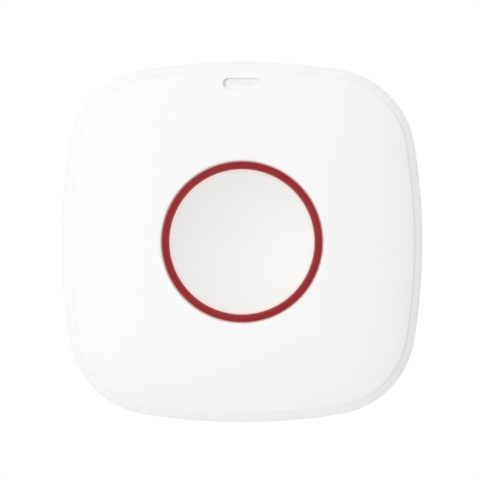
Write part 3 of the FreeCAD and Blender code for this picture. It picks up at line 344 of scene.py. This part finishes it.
tinned = metal("tinned strip", {"colour": (0.78, 0.77, 0.73), "rough": 0.34, "lay": (4.0, 0.4, 0.4)})
zinc = metal("zinc plated", {"colour": (0.56, 0.565, 0.58), "rough": 0.34, "lay": (2.0, 2.0, 2.0)})
copper = metal("tinned copper", {"colour": (0.80, 0.60, 0.42), "rough": 0.32, "lay": (1.0, 1.0, 5.0)})

# Painted glow: pale red painted round the cover's hole stands in for the ring's red light and lightens
# the hole's shaded edge, full and none at these mm from the middle
paintedHoleGlow = {"full": 14.57, "none": 15.0, "front": 16.0, "colour": (0.97, 0.83, 0.81)}
coverWhite, bench, surface = newMaterial("cover white", plasticShader(shellFinish["specular"]))
place = millimetres(bench)
across, depth, up = axes(bench, place)
tone, rough, relief = plasticSkin(bench, place, shellFinish)
# painted red glow and painted light round the hole, only on the front face
paintedGlowShare = 1 - bench.between(paintedHoleGlow["full"], paintedHoleGlow["none"], reachFrom(bench, across, up))
paintedGlowShare = paintedGlowShare * (-depth > paintedHoleGlow["front"])
tone = bench.mixColour(paintedGlowShare, tone, paintedHoleGlow["colour"])
feed(bench, surface, Base_Color=tone, Roughness=rough, Normal=relief)

# The cap too gets painted red glow from the ring, more strongly at its rim, and painted shade darkens
# its dish away from the middle
capFinish = {"colour": (0.866, 0.853, 0.836), "rough": 0.48, "grain": 4.5, "relief": 0.07,
             "drift": 0.006, "specular": 0.65,
             "paintedShadeAndGlow": [                          # from and to, in mm from the middle, and colour
                 # painted shade: the dish darker away from the middle
                 (8.0, 12.4, (0.852, 0.837, 0.817)),
                 # painted red glow from the ring, stronger at the rim's very edge
                 (12.3, 12.9, (0.95, 0.72, 0.70)),
                 (12.85, radii["cap"], (0.80, 0.36, 0.35)),
             ]}
capWhite, bench, surface = newMaterial("cap warm white", plasticShader(capFinish["specular"]))
place = millimetres(bench)
across, depth, up = axes(bench, place)
tone, rough, relief = plasticSkin(bench, place, capFinish)
reach = reachFrom(bench, across, up)
for start, end, colour in capFinish["paintedShadeAndGlow"]:
    tone = bench.mixColour(bench.between(start, end, reach), tone, colour)
feed(bench, surface, Base_Color=tone, Roughness=rough, Normal=relief)

# Translucent red: its own red along the middle of the band, painted shade either side of that, and
# painted light at its two pale edges. The stops run across the band from the cap outwards
ringFinish = {
    "rough": 0.38, "spread": 0.05, "specular": 0.12, "ior": 1.49, "grain": 2.0, "relief": 0.04,
    "swirl": (0.40, 0.05, 0.06), "swirlScale": 0.5, "swirlShare": 0.12,
    "stops": [
        (0.0, (0.48, 0.16, 0.16)), (0.12, (0.245, 0.024, 0.030)), (0.40, (0.318, 0.018, 0.026)),
        (0.58, (0.310, 0.018, 0.026)), (0.74, (0.235, 0.020, 0.027)), (0.83, (0.25, 0.045, 0.050)),
        (0.90, (0.54, 0.28, 0.28)), (1.0, (0.92, 0.76, 0.75)),
    ],
}
ringRed, bench, surface = newMaterial("ring red",
                                      plasticShader(ringFinish["specular"], ringFinish["ior"]))
place = millimetres(bench)
across, depth, up = axes(bench, place)
band = radii["ringOuter"] - radii["ringInner"]
share = (reachFrom(bench, across, up) - radii["ringInner"]) / band
stops = [(at, rgb(colour)) for at, colour in ringFinish["stops"]]
# painted shade and painted light across the band
tone = bench.value("ShaderNodeValToRGB", {"stops": stops}, {0: share})
swirl = noise(bench, place, ringFinish["swirlScale"], detail=2.0)
tone = bench.mixColour(swirl * ringFinish["swirlShare"], tone, ringFinish["swirl"])
feed(bench, surface, Base_Color=tone, Roughness=ringFinish["rough"] + swirl * ringFinish["spread"],
     Normal=bench.bump(noise(bench, place, ringFinish["grain"]), ringFinish["relief"]))

# Milky light pipe
lensFinish = {"low": 0.90, "high": 0.925, "haze": 1.2, "rough": 0.38, "spread": 0.08,
              "specular": 0.25, "ior": 1.49}
lensMilk, bench, surface = newMaterial("milky lens",
                                       plasticShader(lensFinish["specular"], lensFinish["ior"]))
haze = noise(bench, millimetres(bench), lensFinish["haze"], detail=2.0)
tone = bench.mixColour(haze, grey(lensFinish["low"]), grey(lensFinish["high"]))
feed(bench, surface, Base_Color=tone, Roughness=lensFinish["rough"] + haze * lensFinish["spread"])

# Coin cell: turned can and cap with a dark gasket between them
cellFinish = {"steel": (0.72, 0.71, 0.69), "lowTone": 0.85, "gasket": (0.05, 0.05, 0.055),
              "gasketInner": 10.82, "gasketOuter": 11.25, "gasketDepth": 8.9,
              "lines": 6.0, "drawn": 0.2,        # how fast the turned marks change outwards and along
              "rough": 0.24, "spread": 0.14, "gasketRough": 0.25, "relief": 0.12}
cellSteel, bench, surface = newMaterial("cell steel", {})
place = millimetres(bench)
across, depth, up = axes(bench, place)
reach = reachFrom(bench, across, up)
gasket = (reach > cellFinish["gasketInner"]) * (reach < cellFinish["gasketOuter"])
gasket = gasket * (-depth > cellFinish["gasketDepth"])
marks = bench.joined(reach * cellFinish["lines"], depth * cellFinish["drawn"])
turned = noise(bench, marks, 1.0, detail=4.0)
steel = bench.mixColour(turned, darker(cellFinish["steel"], cellFinish["lowTone"]),
                        cellFinish["steel"])
rough = cellFinish["rough"] + turned * cellFinish["spread"] + gasket * cellFinish["gasketRough"]
feed(bench, surface, Base_Color=bench.mixColour(gasket, steel, cellFinish["gasket"]),
     Metallic=1 - gasket, Roughness=rough, Normal=bench.bump(turned, cellFinish["relief"]))

# Circuit board: tracks under green mask, bare pads round the screws and small plated holes
boardFinish = {
    "mask": (0.010, 0.105, 0.045), "track": (0.025, 0.20, 0.085), "bare": (0.80, 0.77, 0.70),
    "pitch": 1.15, "width": 0.36, "run": 6.5, "stagger": 0.37,
    "missing": 0.62,                             # share of the stretches that have no track
    "holeScale": 0.22, "hole": 0.3,
    "screwPads": [(-23.5, 0.0), (23.5, 0.0), (0.0, -24.5)], "padRadius": 2.75,
    "weave": (0.03, 0.16, 0.08), "weaveScale": 2.2, "weaveShare": 0.2, "weaveHeight": 0.1,
    "rough": 0.3, "spread": 0.1, "bareRough": 0.05, "relief": 0.3, "trackHeight": 0.03,
}
boardGreen, bench, surface = newMaterial("board green", plasticShader())
place = millimetres(bench)
across, depth, up = axes(bench, place)


def trackRows(bench, along, over):               # parallel tracks, each stretch there or not by chance
    row = bench.maths("FLOOR", over / boardFinish["pitch"])
    stretch = bench.maths("FLOOR", along / boardFinish["run"] + row * boardFinish["stagger"])
    chance = bench.value("ShaderNodeTexWhiteNoise", {"noise_dimensions": "2D"},
                         {"Vector": bench.joined(row, stretch)})
    inRow = bench.maths("FRACT", over / boardFinish["pitch"]) - 0.5
    offset = bench.maths("ABSOLUTE", inRow) * boardFinish["pitch"]
    return (offset < boardFinish["width"] / 2) * (chance > boardFinish["missing"])


tracks = bench.larger(trackRows(bench, across, up), trackRows(bench, up, across))
holes = bench.value("ShaderNodeTexVoronoi", None,
                    {"Vector": place, "Scale": boardFinish["holeScale"], "Randomness": 1.0})
bare = holes / boardFinish["holeScale"] < boardFinish["hole"]
for centre in boardFinish["screwPads"]:
    bare = bench.larger(bare, reachFrom(bench, across, up, centre) < boardFinish["padRadius"])
weave = noise(bench, place, boardFinish["weaveScale"], detail=2.0)
tone = bench.mixColour(tracks, boardFinish["mask"], boardFinish["track"])
tone = bench.mixColour(weave * boardFinish["weaveShare"], tone, boardFinish["weave"])
rough = boardFinish["rough"] + weave * boardFinish["spread"] + bare * boardFinish["bareRough"]
relief = bench.bump(tracks + weave * boardFinish["weaveHeight"], boardFinish["relief"],
                    boardFinish["trackHeight"])
feed(bench, surface, Base_Color=bench.mixColour(bare, tone, boardFinish["bare"]), Metallic=bare,
     Roughness=rough, Normal=relief)

# Light source: pale housing with a yellow phosphor cup
ledFinish = {"housing": (0.86, 0.85, 0.80), "phosphor": (0.80, 0.66, 0.10), "centre": (0.0, 25.9),
             "cup": 0.44, "grain": 8.0, "rough": 0.35, "spread": 0.12, "relief": 0.05}
ledPale, bench, surface = newMaterial("light source", plasticShader())
place = millimetres(bench)
across, depth, up = axes(bench, place)
cup = reachFrom(bench, across, up, ledFinish["centre"]) < ledFinish["cup"]
grain = noise(bench, place, ledFinish["grain"], detail=2.0)
feed(bench, surface, Base_Color=bench.mixColour(cup, ledFinish["housing"], ledFinish["phosphor"]),
     Roughness=ledFinish["rough"] + grain * ledFinish["spread"],
     Normal=bench.bump(grain, ledFinish["relief"]))

# Radio chip: black moulding with a round dimple in one corner
radioFinish = {"black": (0.022, 0.022, 0.025), "dimple": (0.10, 0.10, 0.105),
               "inset": 0.9, "radius": 0.35, "softFrom": 0.8, "sunk": 0.05,
               "grain": 7.0, "grainShare": 0.4, "rough": 0.5, "spread": 0.12, "relief": 0.3}
low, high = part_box("radio_chip")
dimpleAt = (low[0] / mm + radioFinish["inset"], high[2] / mm - radioFinish["inset"])
radioBlack, bench, surface = newMaterial("radio chip", plasticShader())
place = millimetres(bench)
across, depth, up = axes(bench, place)
dimple = 1 - bench.between(radioFinish["radius"] * radioFinish["softFrom"], radioFinish["radius"],
                           reachFrom(bench, across, up, dimpleAt))
grain = noise(bench, place, radioFinish["grain"], detail=2.0)
relief = bench.bump(grain * radioFinish["grainShare"] - dimple, radioFinish["relief"],
                    radioFinish["sunk"])
feed(bench, surface, Base_Color=bench.mixColour(dimple, radioFinish["black"], radioFinish["dimple"]),
     Roughness=radioFinish["rough"] + grain * radioFinish["spread"], Normal=relief)

# Shield can: pressed sheet with rows of small vents
shieldFinish = {"sheet": (0.76, 0.76, 0.75), "lowTone": 0.88, "vent": (0.05, 0.05, 0.05),
                "pitch": 1.6, "radius": 0.32, "margin": 1.2, "sunk": 0.04,
                "lay": (5.0, 0.5, 0.5), "lines": 2.0, "layShare": 0.2,
                "rough": 0.30, "spread": 0.12, "ventRough": 0.4, "relief": 0.3}
low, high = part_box("radio_shield")
middle = ((low[0] + high[0]) / 2 / mm, (low[2] + high[2]) / 2 / mm)
field = (high[0] - low[0]) / 2 / mm - shieldFinish["margin"]
canSheet, bench, surface = newMaterial("shield sheet", {})
place = millimetres(bench)
across, depth, up = axes(bench, place)
sideways, upward = across - middle[0], up - middle[1]
cellX = bench.maths("FRACT", sideways / shieldFinish["pitch"]) - 0.5
cellZ = bench.maths("FRACT", upward / shieldFinish["pitch"]) - 0.5
vent = reachFrom(bench, cellX, cellZ) * shieldFinish["pitch"] < shieldFinish["radius"]
vent = vent * ((bench.maths("ABSOLUTE", sideways) < field) * (bench.maths("ABSOLUTE", upward) < field))
stretched = bench.value("ShaderNodeMapping", None, {"Vector": place, "Scale": shieldFinish["lay"]})
lay = noise(bench, stretched, shieldFinish["lines"], detail=4.0)
sheet = bench.mixColour(lay, darker(shieldFinish["sheet"], shieldFinish["lowTone"]),
                        shieldFinish["sheet"])
rough = shieldFinish["rough"] + lay * shieldFinish["spread"] + vent * shieldFinish["ventRough"]
relief = bench.bump(lay * shieldFinish["layShare"] - vent, shieldFinish["relief"],
                    shieldFinish["sunk"])
feed(bench, surface, Base_Color=bench.mixColour(vent, sheet, shieldFinish["vent"]),
     Metallic=1 - vent, Roughness=rough, Normal=relief)

# Clock crystal: metal lid on a ceramic tray
crystalFinish = {"lid": (0.74, 0.74, 0.75), "tray": (0.50, 0.42, 0.33), "trayTop": 11.25, "soft": 0.02,
                 "grain": 5.0, "rough": 0.3, "spread": 0.1, "trayRough": 0.3, "relief": 0.08}
crystalCan, bench, surface = newMaterial("crystal can", {})
place = millimetres(bench)
across, depth, up = axes(bench, place)
tray = 1 - bench.between(crystalFinish["trayTop"] - crystalFinish["soft"],
                         crystalFinish["trayTop"] + crystalFinish["soft"], -depth)
grain = noise(bench, place, crystalFinish["grain"])
rough = crystalFinish["rough"] + tray * crystalFinish["trayRough"] + grain * crystalFinish["spread"]
feed(bench, surface, Base_Color=bench.mixColour(tray, crystalFinish["lid"], crystalFinish["tray"]),
     Metallic=1 - tray, Roughness=rough, Normal=bench.bump(grain, crystalFinish["relief"]))

# Reservoir capacitor: dark moulding with a pale band at one end and tinned feet
reservoirFinish = {"case": (0.035, 0.033, 0.032), "band": (0.55, 0.52, 0.46),
                   "tin": (0.76, 0.75, 0.72),
                   "bandWidth": 1.1, "bandSoft": 0.05, "feet": 0.45, "feetSoft": 0.02,
                   "grain": 6.0, "rough": 0.48, "spread": 0.12, "feetRough": -0.15, "relief": 0.15}
low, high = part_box("reservoir_capacitor")
bandFrom = high[0] / mm - reservoirFinish["bandWidth"]
footTop = -high[1] / mm + reservoirFinish["feet"]
reservoirCase, bench, surface = newMaterial("reservoir case", plasticShader())
place = millimetres(bench)
across, depth, up = axes(bench, place)
band = bench.between(bandFrom - reservoirFinish["bandSoft"],
                     bandFrom + reservoirFinish["bandSoft"], across)
feet = 1 - bench.between(footTop - reservoirFinish["feetSoft"],
                         footTop + reservoirFinish["feetSoft"], -depth)
grain = noise(bench, place, reservoirFinish["grain"], detail=2.0)
tone = bench.mixColour(band, reservoirFinish["case"], reservoirFinish["band"])
rough = reservoirFinish["rough"] + grain * reservoirFinish["spread"]
rough = rough + feet * reservoirFinish["feetRough"]
feed(bench, surface, Base_Color=bench.mixColour(feet, tone, reservoirFinish["tin"]), Metallic=feet,
     Roughness=rough, Normal=bench.bump(grain, reservoirFinish["relief"]))
print("finishes mixed")

# How a CAD node's triangles are joined: weld distance in mm, and the angle past which an edge is sharp
joining = {"weld": 0.0001, "sharp": 28}
# How far a corner may lie from where it is looked for, in mm
slack = {"arc": 0.004, "face": 0.005, "edge": 0.01, "rounding": 0.02}


def weldedShape(mesh):
    shape = bmesh.new()
    shape.from_mesh(mesh)
    bmesh.ops.remove_doubles(shape, verts=shape.verts, dist=joining["weld"] * mm)
    return shape


def roundOff(shape, edges, offset):              # offset in mm
    bmesh.ops.bevel(shape, geom=edges, offset=offset * mm, segments=2, profile=0.5, affect="EDGES",
                    clamp_overlap=True)


def mergedCopy(node):                            # one closed mesh, smooth but for its real edges
    mesh = nodes[node].data.copy()
    shape = weldedShape(mesh)
    for face in shape.faces:
        face.smooth = True
    for edge in shape.edges:
        edge.smooth = edge.calc_face_angle(0) < math.radians(joining["sharp"])
    shape.to_mesh(mesh)
    shape.free()
    return mesh


def trueNormals(mesh, normalOf):                 # normalOf gives a face's exact normals, or nothing
    corners = [corner.vector.copy() for corner in mesh.corner_normals]
    for face in mesh.polygons:
        spots = [mesh.vertices[index].co / mm for index in face.vertices]
        exact = normalOf(face, spots)
        if exact:
            for corner, normal in zip(face.loop_indices, exact):
                corners[corner] = normal
    mesh.normals_split_custom_set(corners)


# Each arc is its centre's radius and depth, its bend, and 1 for bulging or -1 for hollow
def turnedNormals(arcs):
    def normalOf(face, spots):
        for radius, depth, bend, side in arcs:
            exact = []
            for spot in spots:
                reach = math.hypot(spot.x, spot.z)
                outward, forward = reach - radius, -spot.y - depth
                if abs(math.hypot(outward, forward) - bend) > slack["arc"]:
                    break
                way = Vector((spot.x, 0, spot.z)) / max(reach, 1e-6)
                exact.append((way * outward + Vector((0, -forward, 0))) * side / bend)
            if len(exact) == len(spots):
                return exact
    return normalOf


def crisper(radius, depthOf, bend, share):       # keeps a share of the rounding of a turned corner
    def moveSpot(spot):
        reach, corner = math.hypot(spot.x, spot.z), depthOf(spot)
        around = bend + slack["rounding"]
        if abs(reach - radius) > around or -spot.y < corner - around:
            return spot
        wanted = radius + (reach - radius) * share
        return Vector((spot.x * wanted / reach, (spot.y + corner) * share - corner,
                       spot.z * wanted / reach))
    return moveSpot


# Puts a piece in a node's place: softened edits the welded mesh, each of moves shifts its corners,
# and normalOf then gives its exact normals
def standIn(node, name, material, normalOf=None, moves=(), softened=None):
    mesh = mergedCopy(node)
    if softened:
        softened(mesh)
    for moveSpot in moves:
        for vertex in mesh.vertices:
            vertex.co = moveSpot(vertex.co / mm) * mm
    if normalOf:
        trueNormals(mesh, normalOf)
    made = addObject(name, mesh, bodyOf[node], material)
    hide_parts(node)
    return made


# The cover's pillow face, in mm: a soft square outline that shrinks towards the middle as it rises.
# Faces that turn away from it keep their own normals
crown = {
    "half": 30.73, "sideRadius": 105.23, "cornerRadius": 14.23, "edgeDepth": 14.05, "rise": 3.1,
    "innerReach": 15.3, "partingDepth": 13.503, "shoulderSlope": 0.6,
    "rollFrom": 0.86, "roll": 0.08,              # the shading turns down a little more near the edge
    "backward": 0.5, "sameFace": 0.95,
    "holeRound": 0.65, "holeKept": 0.25,
    "seamFill": 0.1, "footPast": 0.15,
}
crownShift = crown["half"] - crown["sideRadius"]
crownCorner = (crownShift + math.sqrt(2 * (crown["sideRadius"] - crown["cornerRadius"]) ** 2
                                      - crownShift ** 2)) / 2


# The way out, the distance past the outline, the share of it reached, and its support
def outlineAt(spot):
    right, upward = abs(spot.x), abs(spot.z)
    swapped = upward > right
    if swapped:
        right, upward = upward, right
    centre, radius = (crownCorner, crownCorner), crown["cornerRadius"]
    if math.atan2(upward, right - crownShift) <= math.atan2(crownCorner, crownCorner - crownShift):
        centre, radius = (crownShift, 0.0), crown["sideRadius"]
    length = math.hypot(right, upward)
    ahead = (right * centre[0] + upward * centre[1]) / length
    reach = ahead + math.sqrt(ahead ** 2 - centre[0] ** 2 - centre[1] ** 2 + radius ** 2)
    edge = (right / length * reach, upward / length * reach)
    way = ((edge[0] - centre[0]) / radius, (edge[1] - centre[1]) / radius)
    support = edge[0] * way[0] + edge[1] * way[1]
    past = math.hypot(right - centre[0], upward - centre[1]) - radius
    if swapped:
        way = (way[1], way[0])
    way = (math.copysign(way[0], spot.x), math.copysign(way[1], spot.z))
    return way, past, length / reach, support


def crownNormals(face, spots):                   # exact on the pillow, and rolling over its edge
    inHole = any(math.hypot(spot.x, spot.z) < crown["innerReach"] for spot in spots)
    if inHole or face.normal.y > crown["backward"]:
        return None
    rows = [outlineAt(spot) for spot in spots]
    onFace = all(-spot.y > crown["edgeDepth"] - slack["face"] for spot in spots)
    onEdge = all(past > -slack["edge"] and -spot.y > crown["partingDepth"] - slack["edge"]
                 for spot, (way, past, share, support) in zip(spots, rows))
    if not (onFace or onEdge):
        return None
    exact = []
    for spot, (way, past, share, support) in zip(spots, rows):
        share = min(share, 1.0)
        nearEdge = max((share - crown["rollFrom"]) / (1 - crown["rollFrom"]), 0.0)
        slope = 4 * crown["rise"] * share ** 3 / support + crown["roll"] * nearEdge ** 2
        if onEdge:
            rolled = (crown["edgeDepth"] + spot.y) / (crown["edgeDepth"] - crown["partingDepth"])
            slope += (crown["shoulderSlope"] - slope) * min(max(rolled, 0.0), 1.0)
        exact.append(Vector((way[0] * slope, -1.0, way[1] * slope)).normalized())
    if onFace and face.normal.dot(exact[0]) < crown["sameFace"]:
        return None
    return exact


def crownDepthAtHole(spot):                      # where the pillow would meet the hole's wall
    share = outlineAt(spot)[2] * radii["hole"] / math.hypot(spot.x, spot.z)
    return crown["edgeDepth"] + crown["rise"] * (1 - share ** 4)


def closeSeam(spot):                             # the foot of the cover comes out to the shoulder
    outside = max(abs(spot.x), abs(spot.z)) > crown["innerReach"]
    if outside and abs(-spot.y - crown["partingDepth"]) < slack["edge"]:
        way, past, share, support = outlineAt(spot)
        if past > crown["footPast"]:
            return spot + Vector((way[0], 0, way[1])) * crown["seamFill"]
    return spot


holeEdge = crisper(radii["hole"], crownDepthAtHole, crown["holeRound"], crown["holeKept"])
slotMouth = {"across": 3.6, "low": 27.4, "high": 29.6, "front": 14.4, "turn": 60, "round": 0.2}


def atMouth(spot):                               # whether a corner is on the slot's front edge
    return (abs(spot.x) < slotMouth["across"] and slotMouth["low"] < spot.z < slotMouth["high"]
            and -spot.y > slotMouth["front"])


def softMouth(mesh):                             # a small rounding on the indicator slot's mouth
    shape = bmesh.new()
    shape.from_mesh(mesh)
    mouth = [edge for edge in shape.edges if all(atMouth(corner.co / mm) for corner in edge.verts)
             and edge.calc_face_angle(0) > math.radians(slotMouth["turn"])]
    roundOff(shape, mouth, slotMouth["round"])
    shape.to_mesh(mesh)
    shape.free()


capShape = {"rimRound": 0.4, "kept": 0.6, "rimDepth": 16.9,
            "sag": 1.7, "deeper": 2.3,           # depth of the solid's dish and of the piece's
            "offDish": 0.03}                     # keeps the rim's rounding off the dish
flatReach = radii["cap"] - capShape["rimRound"]
solidBend = (flatReach ** 2 + capShape["sag"] ** 2) / (2 * capShape["sag"])
solidCentre = capShape["rimDepth"] - capShape["sag"] + solidBend
capRound = capShape["rimRound"] * capShape["kept"]
dishReach = radii["cap"] - capRound
dishBend = (dishReach ** 2 + capShape["deeper"] ** 2) / (2 * capShape["deeper"])
dishCentre = capShape["rimDepth"] - capShape["deeper"] + dishBend
capArcs = [(0.0, dishCentre, dishBend, -1), (dishReach, capShape["rimDepth"] - capRound, capRound, 1)]
capRim = crisper(radii["cap"], lambda spot: capShape["rimDepth"],
                 capShape["rimRound"] - capShape["offDish"], capShape["kept"])


def deeperDish(spot):                            # the dish, out to the crisper rim
    reach = math.hypot(spot.x, spot.z)
    if abs(math.hypot(reach, -spot.y - solidCentre) - solidBend) > slack["face"]:
        return spot
    share = dishReach / flatReach
    wanted = min(reach * share, dishReach)
    dishAt = math.sqrt(dishBend ** 2 - wanted ** 2) - dishCentre
    return Vector((spot.x * share, dishAt, spot.z * share))


ringShape = {"round": 0.4, "kept": 0.15, "front": 16.7}
ringRound = ringShape["round"] * ringShape["kept"]
ringArcs = [
    (radii["ringOuter"] - ringRound, ringShape["front"] - ringRound, ringRound, 1),
    (radii["ringInner"] + ringRound, ringShape["front"] - ringRound, ringRound, 1),
]
ringEdges = [crisper(radii[edge], lambda spot: ringShape["front"], ringShape["round"],
                     ringShape["kept"]) for edge in ("ringOuter", "ringInner")]
pipeShape = {"endFrom": 14.1, "sunk": 0.5}


def sunkEnd(spot):                               # the light pipe's end, a little deeper in its slot
    return spot + Vector((0, pipeShape["sunk"], 0)) if -spot.y > pipeShape["endFrom"] else spot


standIn("front_cover", "coverShell", coverWhite, crownNormals, (holeEdge, closeSeam), softMouth)
standIn("rear_housing", "rearShell", shellWhite)
standIn("battery_door", "batteryDoor", shellWhite)
standIn("wall_bracket", "bracketPlate", bracketWhite)
standIn("accent_ring", "accentRing", ringRed, turnedNormals(ringArcs), ringEdges)
standIn("button_cap", "pressCap", capWhite, turnedNormals(capArcs), (capRim, deeperDish))
standIn("indicator_lens", "lightPipe", lensMilk, None, (sunkEnd,))
print("outer pieces made")

inside = {
    "coin_cell": cellSteel,
    "battery_contact_positive": tinned,
    "battery_contact_negative": tinned,
    "circuit_board": boardGreen,
    "key_switch_body": mouldedBlack,
    "key_switch_cover": tinned,
    "key_switch_stem": stemNatural,
    "key_switch_terminals": tinned,
    "indicator_led": ledPale,
    "radio_chip": radioBlack,
    "radio_shield": canSheet,
    "clock_crystal": crystalCan,
    "reservoir_capacitor": reservoirCase,
    "antenna": copper,
    "tamper_switch_body": mouldedBlack,
    "tamper_switch_stem": stemNatural,
    "tamper_plunger": plungerWhite,
    "board_screws": zinc,
    "housing_screws": zinc,
}
for node, material in inside.items():
    nodes[node].data.materials.clear()
    nodes[node].data.materials.append(material)
print("inner pieces dressed")


def looseBoxes(node):                            # lowest and highest corners of a node's solids
    shape = weldedShape(nodes[node].data)
    waiting = set(shape.verts)
    boxes = []
    for start in shape.verts:
        if start not in waiting:
            continue
        waiting.remove(start)
        group = [start]
        for vert in group:
            for edge in vert.link_edges:
                other = edge.other_vert(vert)
                if other in waiting:
                    waiting.remove(other)
                    group.append(other)
        boxes.append(([min(vert.co[axis] for vert in group) for axis in range(3)],
                      [max(vert.co[axis] for vert in group) for axis in range(3)]))
    shape.free()
    return boxes


def growTree(name, sockets):                     # an empty Geometry Nodes tree with its named inputs
    tree = bpy.data.node_groups.new(name, "GeometryNodeTree")
    tree.interface.new_socket("Points", in_out="INPUT", socket_type="NodeSocketGeometry")
    for label, kind in sockets.items():
        tree.interface.new_socket(label, in_out="INPUT", socket_type="NodeSocket" + kind)
    tree.interface.new_socket("Geometry", in_out="OUTPUT", socket_type="NodeSocketGeometry")
    bench = Bench(tree)
    start = bench.node("NodeGroupInput")
    return tree, bench, {socket.name: Value(bench, socket) for socket in start.outputs if socket.name}


def closeTree(bench, given, instance):           # the instance on every point, real and dressed
    placed = bench.value("GeometryNodeInstanceOnPoints", None,
                         {"Points": given["Points"], "Instance": instance})
    plain = bench.value("GeometryNodeRealizeInstances", None, {"Geometry": placed})
    dressed = bench.value("GeometryNodeSetMaterial", None,
                          {"Geometry": plain, "Material": given["Material"]})
    bench.node("NodeGroupOutput", None, {0: dressed})


def grow(name, tree, points, inputs):            # runs a tree on the points, keeps the plain mesh
    cloud = bpy.data.meshes.new(name + "Points")
    cloud.from_pydata(points, [], [])
    seed = bpy.data.objects.new(name + "Seed", cloud)
    bpy.context.scene.collection.objects.link(seed)
    modifier = seed.modifiers.new("grow", "NODES")
    modifier.node_group = tree
    for socket in tree.interface.items_tree:
        if socket.in_out == "INPUT" and socket.name in inputs:
            modifier[socket.identifier] = inputs[socket.name]
    depsgraph = bpy.context.evaluated_depsgraph_get()
    mesh = bpy.data.meshes.new_from_object(seed.evaluated_get(depsgraph), depsgraph=depsgraph)
    seed.modifiers.clear()
    bpy.data.objects.remove(seed)
    mesh.name = name
    return mesh


# Chip components: a ceramic block with a tinned cap over each end, on bare pads
chips = {"capShare": 0.2, "capProud": 0.02, "edge": 0.03, "padReach": 0.22, "padHeight": 0.03,
         "padWidth": 0.98}
boxTree, bench, given = growTree("boxes on points", {"Size": "Vector", "Material": "Material"})
closeTree(bench, given, bench.value("GeometryNodeMeshCube", None, {"Size": given["Size"]}, "Mesh"))
chipBoxes = looseBoxes("chip_components")
chipLow, chipHigh = chipBoxes[0]
chipSize = [chipHigh[axis] - chipLow[axis] for axis in range(3)]
chipMiddles = [[(low[axis] + high[axis]) / 2 for axis in range(3)] for low, high in chipBoxes]
capLength = chipSize[0] * chips["capShare"]
proud = chips["capProud"] * mm
capShift = (chipSize[0] - capLength) / 2
capPoints = [(middle[0] + capShift * side, middle[1], middle[2])
             for middle in chipMiddles for side in (-1, 1)]
padDepth = chipHigh[1] - chips["padHeight"] * mm / 2
padPoints = [(point[0], padDepth, point[2]) for point in capPoints]
padSize = (capLength + chips["padReach"] * mm * 2, chips["padHeight"] * mm,
           chipSize[2] * chips["padWidth"])
bodySize = (chipSize[0] - capLength, chipSize[1] - proud * 2, chipSize[2] - proud * 2)
boxes = [
    ("chipBodies", chipMiddles, bodySize, firedCeramic),
    ("chipCaps", capPoints, (capLength, chipSize[1], chipSize[2]), tinned),
    ("chipPads", padPoints, padSize, tinned),
]
for name, points, size, material in boxes:
    mesh = grow(name, boxTree, points, {"Size": size, "Material": material})
    shape = bmesh.new()
    shape.from_mesh(mesh)
    if name != "chipPads":
        roundOff(shape, shape.edges[:], chips["edge"])
    shape.to_mesh(mesh)
    shape.free()
    made = addObject(name, mesh, "unit", material)
    if name == "chipBodies":
        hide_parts("chip_components")
print("chip components grown,", len(chipBoxes))

# Screw threads: a ridge wound round each shank, from and to in mm from the head's end
threads = {
    "housingThreads": {"node": "housing_screws", "headBehind": True, "shank": 1.1, "pitch": 0.95,
                       "ridge": 0.16, "proud": 0.02, "from": 3.2, "to": 9.2},
    "boardThreads": {"node": "board_screws", "headBehind": False, "shank": 0.95, "pitch": 0.75,
                     "ridge": 0.14, "proud": 0.02, "from": 1.9, "to": 6.7},
}
winding = {"stepsPerTurn": 24, "ridgeSides": 4}
threadTree, bench, given = growTree("threads on screws", {
    "Radius": "Float", "Length": "Float", "Pitch": "Float", "Ridge": "Float", "Material": "Material"})
line = bench.value("GeometryNodeCurveSpiral", None, {
    "Resolution": winding["stepsPerTurn"], "Rotations": given["Length"] / given["Pitch"],
    "Start Radius": given["Radius"], "End Radius": given["Radius"], "Height": given["Length"]})
section = bench.value("GeometryNodeCurvePrimitiveCircle", None,
                      {"Resolution": winding["ridgeSides"], "Radius": given["Ridge"]})
ridge = bench.value("GeometryNodeCurveToMesh", None,
                    {"Curve": line, "Profile Curve": section, "Fill Caps": True})
laid = bench.value("GeometryNodeTransform", None,
                   {"Geometry": ridge, "Rotation": (math.radians(90), 0.0, 0.0)})
closeTree(bench, given, laid)
for name, thread in threads.items():
    points = []
    for low, high in looseBoxes(thread["node"]):
        base = high[1] - thread["from"] * mm if thread["headBehind"] else low[1] + thread["to"] * mm
        points.append(((low[0] + high[0]) / 2, base, (low[2] + high[2]) / 2))
    mesh = grow(name, threadTree, points, {
        "Radius": (thread["shank"] + thread["proud"] - thread["ridge"]) * mm,
        "Length": (thread["to"] - thread["from"]) * mm, "Pitch": thread["pitch"] * mm,
        "Ridge": thread["ridge"] * mm, "Material": zinc})
    addObject(name, mesh, "unit", zinc)
print("threads wound")
